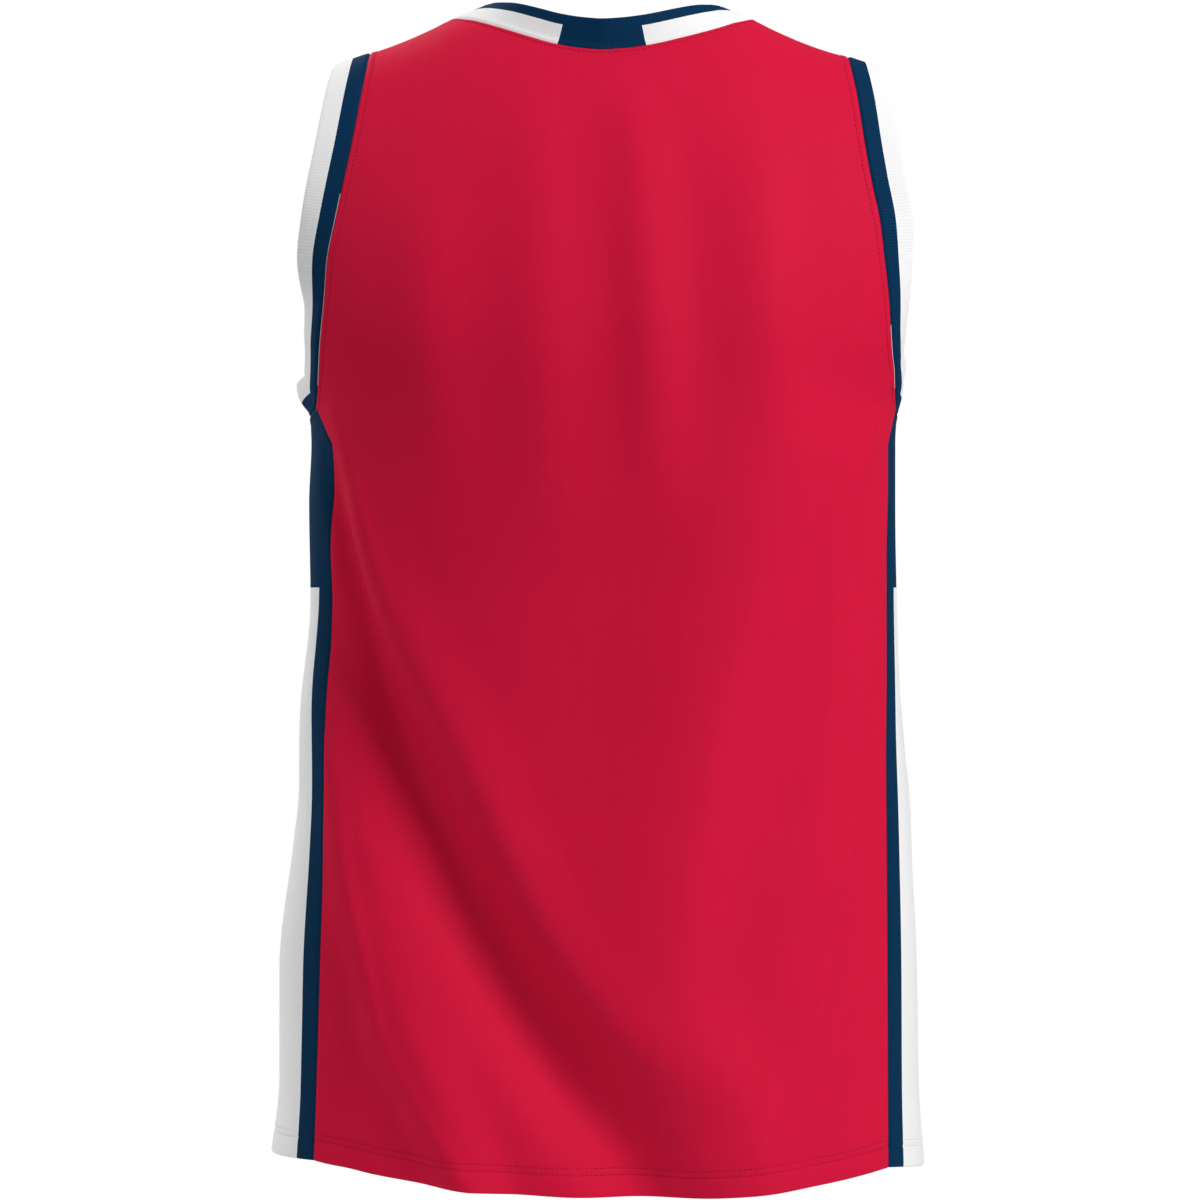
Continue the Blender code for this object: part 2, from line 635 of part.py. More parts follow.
def make_trim(left, frame, material):
    """One armhole trim, with the lean that its table gives."""
    around = share_along(frame[0])
    if left:
        around = 1 - around
    side = "left" if left else "right"
    root, edge = (read_table(TRIM_LEAN, "around", end + side, around) for end in ("root_", "edge_"))
    return cloth_object("armhole_trim_" + side, band(frame, TRIM_ACROSS, root, edge), RIB_WALL, material,
                        closed=True)


def build_jersey():
    """Make the seven pieces in a collection of their own, parented to one empty."""
    sheets = {face: make_sheet(face) for face in ("back", "front", "left", "right")}
    loops = [(stations, seam_frame(sheets, stations))
             for stations in (neck_stations(), armhole_stations(True), armhole_stations(False))]
    panels = panels_with_gaps(sheets, loops)
    red = cloth_material("red knit", (211, 32, 66), 0.7)
    white = cloth_material("white knit", (238, 238, 238), 0.7)
    navy_rib = cloth_material("navy and white rib", (10, 50, 84), 0.8)
    white_rib = cloth_material("white rib", (238, 238, 238), 0.8)
    pieces = [cloth_object(face + "_panel", panels[face], KNIT_WALL, red, below_neck(face, panels[face]))
              for face in ("back", "front")]
    pieces += [cloth_object("side_panel_" + side, panels[side], KNIT_WALL, white)
               for side in ("left", "right")]
    neck, left_arm, right_arm = loops
    pieces.append(make_collar(*neck, white_rib))
    pieces.append(make_trim(True, left_arm[1], navy_rib))
    pieces.append(make_trim(False, right_arm[1], navy_rib))
    collection = bpy.data.collections.new("basketball jersey")
    bpy.context.scene.collection.children.link(collection)
    hang = bpy.data.objects.new("jersey", None)
    collection.objects.link(hang)
    for piece in pieces:
        collection.objects.link(piece)
        piece.parent = hang


for old in list(bpy.data.objects):
    bpy.data.objects.remove(old, do_unlink=True)
build_jersey()
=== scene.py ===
# %% [markdown]
# # A basketball jersey
#
# A sleeveless jersey is seven pieces of cloth: a back and a front panel, two side panels, a rib
# collar and two rib armhole trims. This one is filled out as when worn, with nobody in it. The
# frame holds its solids, and this lesson dresses them: finer cloth, creases, seams, stitches and
# finishes. Everything is in metres, in the frame's own axes.

# %% Load the frame
import math

import bmesh
import bpy
import numpy as np
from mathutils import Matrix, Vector
from mathutils.bvhtree import BVHTree
from mathutils.kdtree import KDTree


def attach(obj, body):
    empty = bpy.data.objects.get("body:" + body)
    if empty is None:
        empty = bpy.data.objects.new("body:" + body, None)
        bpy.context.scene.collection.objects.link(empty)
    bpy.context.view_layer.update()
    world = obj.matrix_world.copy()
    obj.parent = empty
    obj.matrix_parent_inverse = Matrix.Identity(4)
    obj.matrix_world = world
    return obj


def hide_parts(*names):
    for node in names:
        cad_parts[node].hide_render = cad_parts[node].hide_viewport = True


MM = 0.001
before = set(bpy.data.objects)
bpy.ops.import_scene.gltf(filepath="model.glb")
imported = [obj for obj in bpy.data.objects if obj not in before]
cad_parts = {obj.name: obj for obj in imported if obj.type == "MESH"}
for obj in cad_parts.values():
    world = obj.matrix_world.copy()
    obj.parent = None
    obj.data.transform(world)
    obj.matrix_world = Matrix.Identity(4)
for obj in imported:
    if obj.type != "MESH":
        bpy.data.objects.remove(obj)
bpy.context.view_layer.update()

# %% [markdown]
# ## The camera
#
# A product picture of a garment is taken level with its middle, from a few metres away with a
# long lens, so that the hem and the shoulders keep their widths. Blender's camera looks along its
# own -Z. Turning it a right angle about X levels it, and a half turn about Z sets it behind the
# jersey, which faces -Y.

# %% Camera
CAMERA_DISTANCE = 2.4            # from the plane through the shoulders
PICTURE_HEIGHT = 0.7776          # height of what the picture holds at that distance
CAMERA_PLACE = (0.0013, CAMERA_DISTANCE, -0.363)    # level with the jersey's middle


def put(name, data):
    """A new object in the scene, made from its data: a camera, a mesh or a lamp."""
    thing = bpy.data.objects.new(name, data)
    bpy.context.scene.collection.objects.link(thing)
    return thing


lens = bpy.data.cameras.new("long lens")
lens.sensor_width = 36           # millimetres, as in a full-frame camera
lens.lens = lens.sensor_width * CAMERA_DISTANCE / PICTURE_HEIGHT
camera = put("camera", lens)
camera.location = CAMERA_PLACE
camera.rotation_euler = (math.pi / 2, 0, math.pi)
bpy.context.scene.camera = camera
print("lens", round(lens.lens, 1), "mm")

# %% [markdown]
# ## Sizes of the cut
#
# The pieces follow the same tables as the solids do, so that each piece lies on its own solid.
# A jersey could also be draped by simulation, but then its outline would wander away from the
# frame. Tables keep it where it belongs, and a fine grid on them can still carry soft creases.
# They are in millimetres, and a height counts from the frame's origin, which is between the
# shoulders.

# %% Body sections
# The body's level sections. Above the underarm the half-widths are those of the surface that the
# panels are cut from, which carries on past the armholes.
BODY = {
    "height": (-730, -670, -600, -520, -490, -440, -363, -300, -262, -241, -230, -215, -200,
               -150, -100, -50, 20),
    "half_left": (215, 208, 208, 199, 196, 195, 188, 189, 187.5, 188.5, 191.5, 197.5, 204.5,
                  220, 232, 239, 246),
    "half_right": (208, 204, 203, 199, 197, 193, 190, 189, 189, 190.5, 193.5, 199.5, 206.5,
                   223, 236, 244, 252),
    "back": (133, 130, 126, 122, 120, 119, 121, 127, 130.5, 132, 132.6, 133.2, 133.5,
             131.5, 128, 125, 122),
    "front": (126, 124, 122, 120, 119, 119, 120, 123, 125, 126, 126.4, 126.7, 126.8,
              125, 122, 119, 116),
}
print(len(BODY["height"]), "sections of the body")

# %% Seams, neck and hem
# Side seams, as distances from the middle plane: a short slant under the arm, then nearly straight.
SIDE_SEAMS = {
    "height":      (-730, -600, -480, -400, -335, -290, -264, -261, -244, -241),
    "back_left":   (181.5, 177.5, 175, 177, 177, 175, 171.5, 172.9, 180.6, 182),
    "back_right":  (180, 180, 180, 181, 181, 182, 182, 182.8, 187.2, 188),
    "front_left":  (181, 180, 179, 179, 179, 178, 178, 178.5, 181.5, 182),
    "front_right": (180, 176, 172, 171, 171, 170, 170, 170.9, 176.1, 177),
}

# Armhole seams, the same way, from the underarm up to the shoulder.
ARMHOLES = {
    "height":      (-241, -236, -224, -200, -175, -150, -125, -100, -73, -45, -20, -12),
    "back_left":   (182, 181, 179.5, 177, 174, 172, 167, 162, 157, 153, 150, 149.5),
    "back_right":  (188, 187, 185.5, 182, 180, 177, 174, 169, 165, 162, 159, 158.5),
    "front_left":  (182, 180, 175, 166, 158, 153, 149, 147, 146, 147, 149, 149.5),
    "front_right": (177, 175.5, 171, 164, 157, 153, 150, 149, 150, 153, 157, 158.5),
}

# The shoulder line, from the middle plane outwards.
SHOULDER = {
    "across": (0, 40, 70, 94, 101, 108, 116, 124, 132, 140, 148, 158, 190),
    "height": (32, 28.5, 21.5, 13, 10, 6.4, 2.7, -0.8, -4, -6.9, -9.4, -12, -20.5),
}

# How far the neck seam drops below the shoulder points, over the share of the half neck width,
# from the right shoulder point to the left one. The front is the same on both sides.
NECK = {
    "across": (-1.0, -0.96, -0.89, -0.80, -0.64, -0.48, -0.32, -0.15, 0,
               0.15, 0.32, 0.48, 0.64, 0.80, 0.89, 0.96, 1.0),
    "back":   (0, 3.1, 5.9, 10.2, 16.1, 21.1, 25.2, 27.9, 29.0,
               27.7, 24.4, 19.2, 13.2, 7.0, 3.6, 1.4, 0),
    "front":  (0, 10, 27, 48, 76, 93, 104, 110, 112,
               110, 104, 93, 76, 48, 27, 10, 0),
}

# The hem's height across the back and front panels, from the right seam to the left one.
HEM = {
    "across": (-1.0, -0.75, -0.5, -0.25, 0.0, 0.5, 1.0),
    "back":   (-719, -725, -729, -731, -730, -724, -714),
    "front":  (-719, -723, -725, -726, -726, -723, -716),
}
HEM_MIDDLE_LEFT = -717 * MM      # and at the middle of the side panels
HEM_MIDDLE_RIGHT = -726 * MM
print("neck", max(NECK["back"]), "mm deep behind and", max(NECK["front"]), "mm in front")

# %% [markdown]
# ## Reading a table
#
# Between two rows of a table the cloth runs in a smooth curve. A plain cubic would overshoot
# beside a steep row and make a bulge that the cut doesn't have. A monotone cubic takes its slope
# at each row from the harmonic mean of its neighbours, so it never passes the rows' own values.

# %% Table reader
def read_table(table, key, column, at):
    """Smooth values of one column of a table, with no overshoot between its rows."""
    xs = np.asarray(table[key], float)
    ys = np.asarray(table[column], float)
    secants = np.diff(ys) / np.diff(xs)
    slopes = np.concatenate([secants[:1], np.zeros(len(xs) - 2), secants[-1:]])
    before, after = secants[:-1], secants[1:]
    same_way = before * after > 0
    total = np.where(same_way, before + after, 1.0)
    slopes[1:-1] = np.where(same_way, 2 * before * after / total, 0.0)
    at = np.asarray(at, float)
    row = np.clip(np.searchsorted(xs, at, side="right") - 1, 0, len(xs) - 2)
    span = xs[row + 1] - xs[row]
    t = np.clip((at - xs[row]) / span, 0.0, 1.0)
    stay, move = (1 + 2 * t) * (1 - t) ** 2, t * t * (3 - 2 * t)
    leave, arrive = t * (1 - t) ** 2, t * t * (t - 1)
    bend = leave * slopes[row] + arrive * slopes[row + 1]
    return stay * ys[row] + move * ys[row + 1] + span * bend


ramp = {"at": (0, 1), "size": (0, 10)}
print("half-way from 0 to 10 a table reads", float(read_table(ramp, "at", "size", 0.5)))

# %% Lengths and sizes
def measured(line, closed=False):
    """Length of a line up to each of its points."""
    if closed:
        line = np.concatenate([line, line[:1]])
    return np.concatenate([[0.0], np.cumsum(np.linalg.norm(np.diff(line, axis=0), axis=1))])


def size_at(table, column, at):
    """A column of a table keyed by height, both in metres."""
    return read_table(table, "height", column, np.asarray(at) / MM) * MM


def shoulder_height(x):
    """Height of the shoulder line over a distance from the middle plane."""
    return read_table(SHOULDER, "across", "height", np.abs(x) / MM) * MM


def half_width(left, height):
    """Half-width of a level section, to the wearer's left where left is true."""
    return np.where(left, size_at(BODY, "half_left", height), size_at(BODY, "half_right", height))


def half_depth(back, height):
    """Half-depth of a level section, to the back where back is true."""
    return np.where(back, size_at(BODY, "back", height), size_at(BODY, "front", height))


half_chest = float(half_width(True, -200 * MM))
print("half chest", round(half_chest / MM), "mm at 200 mm below the shoulders")

# %% [markdown]
# ## The surface that the cloth lies on
#
# A worn torso is neither a box nor an ellipse from above: it is between the two, which is what a
# superellipse gives. Its level sections shrink over the shoulders as an arch does. One function
# turns an angle round the body and a height into a point, and every panel is cut from it.

# %% Arch over the shoulders
ROUNDNESS = 2.3                  # exponent of the superellipse; 2 would be an ellipse
SHOULDER_ROUNDNESS = 2.1         # the same for the arch that closes it over the shoulders
UNDERARM_HEIGHT = -241 * MM
NEVER_ZERO = 1e-12               # shortest length that a vector is divided by


def unit(vectors):
    """Vectors brought to length one."""
    length = np.linalg.norm(vectors, axis=-1, keepdims=True)
    return vectors / np.maximum(length, NEVER_ZERO)


def rise_share(x, height):
    """How far a height is up from the underarm to the shoulder line over x, from 0 to 1."""
    share = (height - UNDERARM_HEIGHT) / (shoulder_height(x) - UNDERARM_HEIGHT)
    return np.clip(share, 0.0, 1.0)


def arch(share):
    """The share of its depth that the body keeps at a share of the rise to the shoulder."""
    return np.maximum(1 - share ** SHOULDER_ROUNDNESS, 0.0) ** (1 / SHOULDER_ROUNDNESS)


print("half-way up the arch keeps", round(float(arch(0.5)), 2), "of its depth")

# %% Angles round the body
def angle_of_width(x, back, height):
    """Angle round the body, from the wearer's left, of a point x from the middle plane."""
    reach = np.clip(np.abs(x) / half_width(x > 0, height), 0.0, 1.0)
    turn = np.arccos(reach ** (ROUNDNESS / 2))
    turn = np.where(x > 0, turn, math.pi - turn)
    return np.where(back, turn, -turn)


def angle_of_depth(y, left, height):
    """The same for a point on a side, y from the plane between front and back."""
    reach = np.clip(np.abs(y) / half_depth(y > 0, height), 0.0, 1.0)
    turn = np.arcsin(reach ** (ROUNDNESS / 2)) * np.sign(y)
    return np.where(left, turn, math.pi - turn)


turn = float(angle_of_width(half_chest / 2, True, -200 * MM))
print("half-way out on the back is", round(math.degrees(turn)), "degrees round from the left side")

# %% Points of the body
def signed_power(share, power):
    """A power of a share that keeps its sign."""
    return np.sign(share) * np.abs(share) ** power


def body_point(angle, height):
    """Point of the body's surface at an angle round it and a height."""
    cos, sin = np.cos(angle), np.sin(angle)
    x = half_width(cos > 0, height) * signed_power(cos, 2 / ROUNDNESS)
    depth = half_depth(sin > 0, height) * arch(rise_share(x, height))
    y = depth * signed_power(sin, 2 / ROUNDNESS)
    return np.stack([x, y, height + 0 * x], axis=-1)


def body_outward(angle, height):
    """Direction that points out of the body there, of length one."""
    cos, sin = np.cos(angle), np.sin(angle)
    width, depth = half_width(cos > 0, height), half_depth(sin > 0, height)
    level = np.stack([signed_power(cos, 2 - 2 / ROUNDNESS) / width,
                      signed_power(sin, 2 - 2 / ROUNDNESS) / depth, 0 * cos], axis=-1)
    x = width * signed_power(cos, 2 / ROUNDNESS)
    share = rise_share(x, height)
    over = np.abs(sin) ** (2 / ROUNDNESS) * depth / (shoulder_height(x) - UNDERARM_HEIGHT)
    upright = share ** (SHOULDER_ROUNDNESS - 1) * over
    flat = arch(share) ** (SHOULDER_ROUNDNESS - 1)
    return unit(unit(level) * flat[..., None] + np.stack([0 * cos, 0 * cos, upright], axis=-1))


behind = float(body_point(math.pi / 2, -200 * MM)[1])
print("the back lies", round(behind / MM), "mm behind the middle, 200 mm below the shoulders")

# %% [markdown]
# ## Folds
#
# Cloth that hangs from two straps drags from one shoulder towards the other hip. A fold here is a
# path over the body with a rise at each of its stations, and it fades out on both hands. The
# large folds are those of the solids. The small ones are creases that the frame leaves to this
# lesson: sharp ones that run down from under the arms, a soft one that deepens the long drag
# across the back, and similar ones on the front and sides.

# %% Large folds
# A path runs over the surface of one face, in rows of (across, height, rise): across is the
# distance to the wearer's left on the back and front, and towards the back on the sides. Its rise
# is positive for a ridge and negative for a trough, and fades out over the width on either hand of
# the path, as seen from outside by someone who walks along it.
FOLDS = (
    ("drag under the left arm", "back", 30, 24,
     ((177, -262, 0), (172, -296, -5.5), (165, -340, -9), (154, -385, -7), (140, -430, -3.5),
      (122, -475, 0))),
    ("left drag to the hem", "back", 50, 60,
     ((182, -240, 0), (179, -296, -2.5), (172, -340, -6), (160, -388, -14), (139, -438, -21),
      (118, -482, -23), (90, -541, -22), (52, -612, -17), (22, -655, -13), (-8, -692, -10),
      (-38, -745, -8))),
    ("sweep across the hem", "back", 92, 56,
     ((110, -510, 0), (66, -590, -5), (38, -630, -8), (14, -664, -10), (-10, -694, -10),
      (-36, -745, -10))),
    ("ridge below the drag", "back", 40, 44,
     ((166, -478, 0), (155, -528, 2.5), (141, -578, 5), (121, -627, 8), (100, -670, 11),
      (74, -745, 13))),
    ("hang of the right blade", "back", 60, 110,
     ((-156, -244, 0), (-130, -276, 5), (-106, -316, 8), (-86, -366, 10), (-69, -420, 10.5),
      (-57, -480, 10), (-46, -540, 9), (-40, -600, 8), (-58, -640, 8), (-84, -680, 7.5),
      (-96, -745, 7))),
    ("left blade ridge", "back", 40, 46,
     ((113, -95, 0), (110, -150, 3), (108, -205, 3), (96, -300, 0))),
    ("ridge left of the spine", "back", 40, 44,
     ((44, -30, 0), (42, -100, 2.8), (37, -190, 3.4), (36, -250, 2.8), (34, -340, 0))),
    ("ridge right of the spine", "back", 40, 34,
     ((-16, -30, 0), (-21, -80, 4.4), (-27, -170, 5), (-32, -240, 3.6), (-36, -330, 0))),
    ("right blade ridge", "back", 44, 56,
     ((-96, -60, 0), (-98, -120, 5), (-102, -190, 6), (-106, -290, 0))),
    ("right under-arm pleat", "back", 32, 32,
     ((-176, -238, 0), (-164, -264, 2.2), (-155, -300, 2.4), (-149, -363, 2.4), (-142, -440, 2),
      (-132, -500, 1.8), (-118, -560, 1.4), (-106, -620, 0))),
    ("left drag of the front", "front", 46, 72,
     ((165, -268, 0), (152, -340, -6), (128, -440, -9), (92, -540, -10), (62, -640, -9),
      (48, -745, -8))),
    ("right drag of the front", "front", 60, 44,
     ((-162, -275, 0), (-150, -360, -4), (-130, -470, -6), (-118, -600, -6), (-112, -745, -5))),
    ("hang of the chest", "front", 80, 80,
     ((8, -170, 0), (14, -300, 3), (6, -470, 4), (-10, -620, 4), (-14, -745, 4))),
    ("left side hollow", "left", 46, 50,
     ((-22, -300, 0), (-30, -430, -3), (-36, -590, -4), (-30, -745, -4))),
    ("right side hollow", "right", 48, 46,
     ((-40, -300, 0), (-34, -450, -3), (-28, -600, -4), (-34, -745, -3))),
)
deepest = min(FOLDS, key=lambda fold: min(row[2] for row in fold[4]))
print(len(FOLDS), "large folds, the deepest of them the", deepest[0])

# %% Small creases
CREASES = (
    ("left armpit crease", "back", 9, 20,
     ((174, -222, 0), (165, -253, 1.5), (153, -291, 2.6), (145, -319, 2.8), (137, -345, 2.0),
      (126, -382, 0))),
    ("left flank crease", "back", 9, 32,
     ((172, -440, 0), (168, -470, 1.6), (160, -520, 2.9), (148, -572, 3.4), (132, -638, 3.4),
      (109, -678, 2.6), (86, -712, 1.6), (66, -748, 1.2))),
    ("left drag crease", "back", 44, 34,
     ((150, -285, 0), (147, -312, 2.0), (135, -357, 3.4), (112, -406, 3.8), (82, -462, 4.0),
      (56, -523, 4.2), (22, -584, 4.2), (-9, -622, 3.6), (-46, -652, 2.8), (-90, -668, 0))),
    ("left hem trough", "back", 28, 22,
     ((158, -560, 0), (155, -610, -1.4), (157, -670, -2.2), (160, -745, -2.2))),
    ("right armpit crease", "back", 11, 8,
     ((-186, -212, 0), (-176, -238, 1.5), (-166, -266, 2.0), (-158, -300, 1.4), (-152, -345, 0))),
    ("right flank crease", "back", 10, 8,
     ((-172, -400, 0), (-168, -450, 1.2), (-160, -512, 1.6), (-150, -545, 1.0), (-144, -575, 0))),
    ("right low crease", "back", 11, 11,
     ((-160, -545, 0), (-152, -572, -1.8), (-142, -600, -2.0), (-132, -630, 0))),
    ("right low crease below", "back", 11, 11,
     ((-170, -560, 0), (-162, -590, -1.6), (-152, -620, -1.7), (-144, -650, 0))),
    ("front left armpit crease", "front", 20, 9,
     ((174, -224, 0), (162, -256, 1.5), (149, -300, 2.4), (138, -350, 1.6), (130, -392, 0))),
    ("front right armpit crease", "front", 9, 20,
     ((-172, -224, 0), (-160, -258, 1.3), (-148, -304, 2.1), (-138, -354, 1.4), (-130, -400, 0))),
    ("front hem crease", "front", 13, 34,
     ((78, -560, 0), (62, -620, 1.8), (48, -680, 2.8), (36, -745, 2.6))),
    ("front waist crease", "front", 34, 14,
     ((-74, -420, 0), (-86, -500, 1.8), (-96, -580, 2.4), (-102, -660, 1.2), (-106, -720, 0))),
    ("front breast crease", "front", 26, 18,
     ((96, -90, 0), (84, -150, 1.4), (74, -220, 1.8), (68, -300, 0))),
    ("left side crease", "left", 13, 11,
     ((4, -430, 0), (8, -470, -1.6), (16, -500, -2.0), (26, -530, 0))),
    ("right side crease", "right", 13, 11,
     ((-20, -360, 0), (-8, -420, 1.5), (6, -480, 1.5), (14, -540, 0))),
)
print(len(CREASES), "small creases")

# %% Fold lines
BIG_FACES, SIDE_FACES = ("back", "front"), ("left", "right")
FACES = BIG_FACES + SIDE_FACES
FOLD_STATIONS = 24               # points along the smooth line of a fold


def face_angle(face, across, height):
    """Angle round the body of a place on one of its four faces."""
    if face in BIG_FACES:
        return angle_of_width(across, face == "back", height)
    return angle_of_depth(across, face == "left", height)


def fold_line(face, path):
    """Smooth line of a fold on the body, with its rise at each station."""
    rows = np.array(path, float) * MM
    along = measured(rows[:, :2])
    stations = np.linspace(0.0, along[-1], FOLD_STATIONS)
    table = {"along": along, "across": rows[:, 0], "height": rows[:, 1], "rise": rows[:, 2]}
    across, height, rise = (read_table(table, "along", name, stations)
                            for name in ("across", "height", "rise"))
    return body_point(face_angle(face, across, height), height), rise


print("the first fold runs", round(measured(fold_line("back", FOLDS[0][4])[0])[-1] / MM), "mm")

# %% Fold heights
CREST_NARROWNESS = 4             # the higher, the narrower a fold's crest within its width


def fold_rise(points, outward, fold):
    """How far one fold lifts each point along its outward direction."""
    _, face, left_width, right_width, path = fold
    line, rise = fold_line(face, path)
    start, leg = line[:-1], np.diff(line, axis=0)
    offset = points[:, None, :] - start[None]
    t = np.clip((offset * leg).sum(-1) / (leg * leg).sum(-1), 0.0, 1.0)
    offset = offset - t[..., None] * leg
    distance = np.linalg.norm(offset, axis=-1)
    nearest = distance.argmin(axis=1)
    pick = np.arange(len(points))
    distance, t, offset = distance[pick, nearest], t[pick, nearest], offset[pick, nearest]
    on_left = (np.cross(outward, leg[nearest]) * offset).sum(-1) > 0
    width = np.where(on_left, left_width, right_width) * MM
    share = np.minimum(distance / width, 1.0)
    height = rise[nearest] * (1 - t) + rise[nearest + 1] * t
    return height * (1 - share ** 2) ** CREST_NARROWNESS


def cloth_points(angle, height):
    """Points of the cloth's middle surface, folds included."""
    points, outward = (part.reshape(-1, 3) for part in (body_point(angle, height),
                                                        body_outward(angle, height)))
    rise = sum(fold_rise(points, outward, fold) for fold in FOLDS + CREASES)
    return (points + outward * rise[:, None]).reshape(angle.shape + (3,))


low_behind = cloth_points(np.array([math.pi / 2]), np.array([-600 * MM]))[0, 1]
print("low on the back the cloth lies", round(float(low_behind) / MM), "mm behind the middle")

# %% [markdown]
# ## Grids of cloth
#
# Each panel becomes a grid of points. Its rows and columns lie close together beside the seams
# and above the hem, where stitches pull the cloth in, and a few millimetres apart elsewhere.
# The big panels are a body with two straps, so their grid has a notch where the neck is. One row
# of the grid lies exactly where the printed colour changes, which keeps that edge crisp.

# %% Spacing of the grid
SLANT_HEIGHT = -264 * MM         # below this the side seams run nearly straight
NEAR_SEAM = np.array([0, 0.45, 1.4, 2.2, 3.0, 3.8, 4.6, 5.6]) * MM
NEAR_HEM = np.array([0, 0.5, 1.4, 3.5, 7.5, 11, 12.2, 13, 13.8, 15, 16.2, 17, 17.8, 19.5]) * MM
PRINT_CHANGE = -355 * MM         # height where the side panels turn from navy to white
STRIPE_WIDTH = 15 * MM
STRIPE_COLUMN = len(NEAR_SEAM) + 1          # column of a side panel that ends its stripe

# Counts of the even cells between those that lie close to a seam or the hem.
ROWS_TO_PRINT = 86
ROWS_FROM_PRINT = 22
ROWS_OF_SLANT = 4
ROWS_TO_NECK = {"back": 66, "front": 44}
STRAP_ROWS = {"back": 3, "front": 22}
STRAP_CELLS = 15
HALF_NECK_COLUMNS = 32
SIDE_CELLS = 24

# What those counts come to.
NEAR_ROWS = len(NEAR_SEAM) - 1
SLANT_RISE = UNDERARM_HEIGHT - SLANT_HEIGHT
PRINT_ROW = len(NEAR_HEM) - 1 + ROWS_TO_PRINT
UNDERARM_ROW = PRINT_ROW + ROWS_FROM_PRINT + ROWS_OF_SLANT + NEAR_ROWS
STRAP_COLUMNS = 2 * NEAR_ROWS + STRAP_CELLS
SIDE_COLUMNS = 2 * STRIPE_COLUMN + SIDE_CELLS


def to_seam(length, cells):
    """Shares of a length that ends at a seam, without its start: even, then close together."""
    even = np.linspace(0, 1 - NEAR_SEAM[-1] / length, cells + 1)[1:]
    return np.append(even, 1 - NEAR_SEAM[-2::-1] / length)


def lower_heights(hem, top):
    """Heights of the rows from the hem to the underarm, over each column."""
    low = hem + NEAR_HEM[:, None]
    to_print = np.linspace(0, 1, ROWS_TO_PRINT + 1)[1:, None]
    from_print = np.linspace(0, 1, ROWS_FROM_PRINT + 1)[1:, None]
    to_underarm = to_seam(SLANT_RISE, ROWS_OF_SLANT)[:, None]
    return np.concatenate([
        low,
        low[-1] + (PRINT_CHANGE - low[-1]) * to_print,
        PRINT_CHANGE + (SLANT_HEIGHT - PRINT_CHANGE) * from_print + 0 * hem,
        SLANT_HEIGHT + (top - SLANT_HEIGHT) * to_underarm + 0 * hem])


print("rows to the underarm", UNDERARM_ROW, "- columns of a strap", STRAP_COLUMNS)

# %% Edges of the back and front panels
NECK_HALF = 96.5 * MM            # from the middle plane to the shoulder point of the neck
NECK_SAMPLES = 120               # points that measure the neck seam
CLIMB_PASSES = 8                 # rounds that settle an armhole's width at an angle of climb


def seam_half(face, left, height):
    """Distance of a panel's edge from the middle plane: side seam below, armhole above."""
    side = "left" if left else "right"
    column = face + "_" + side
    return np.where(height < UNDERARM_HEIGHT,
                    size_at(SIDE_SEAMS, column, height), size_at(ARMHOLES, column, height))


def climb_height(x, climb):
    """Height at an angle of climb, from 0 at the underarm to a right angle on the shoulder line."""
    return UNDERARM_HEIGHT + (shoulder_height(x) - UNDERARM_HEIGHT) * np.sin(climb)


def armhole_at_climb(face, left, climb):
    """Distance of the armhole seam from the middle plane at an angle of climb."""
    x = seam_half(face, left, UNDERARM_HEIGHT + 0 * climb)
    for _ in range(CLIMB_PASSES):
        x = seam_half(face, left, climb_height(x, climb))
    return x


def neck_line(face, left):
    """Half the neck seam, from its shoulder point down: distance across, climb and length."""
    share = np.cos(np.linspace(0, math.pi / 2, NECK_SAMPLES))
    x = NECK_HALF * share
    drop = read_table(NECK, "across", face, share if left else -share) * MM
    height = shoulder_height(NECK_HALF) - drop
    climb = np.arcsin(rise_share(x, height))
    line = body_point(angle_of_width(x, face == "back", height), height)
    return x, climb, measured(line)


print("the back neck seam runs", round(neck_line("back", True)[2][-1] / MM), "mm to the left")

# %% Cutting a strap
def strap_rows(face, left, strap, corner_climb, neck):
    """Distances across and heights of a strap's rows, from the neck's corner to the shoulder."""
    neck_x, neck_climb = neck
    left_to_climb = math.pi / 2 - corner_climb
    strap_length = left_to_climb * half_depth(face == "back", 0.0)
    climb = corner_climb + left_to_climb * to_seam(strap_length, STRAP_ROWS[face])
    outer = armhole_at_climb(face, left, climb)
    inner = np.interp(climb, neck_climb[::-1], neck_x[::-1])
    across = outer[:, None] + (inner - outer)[:, None] * strap
    return across, climb_height(across, climb[:, None])


print("rows of a strap:", {face: STRAP_ROWS[face] + NEAR_ROWS for face in BIG_FACES})

# %% Cutting the back and front panels
STRAP_WIDTH = 60 * MM            # about, of the big panels alone
PANEL_RISE = 260 * MM            # about, from the underarm over the cloth to the neck
NECK_CORNER = {"back": 84 * MM, "front": 57 * MM}   # where the neck seam turns across the body
COLUMN_DRIFT = 2                 # how late the columns drift from even spacing to the neck's


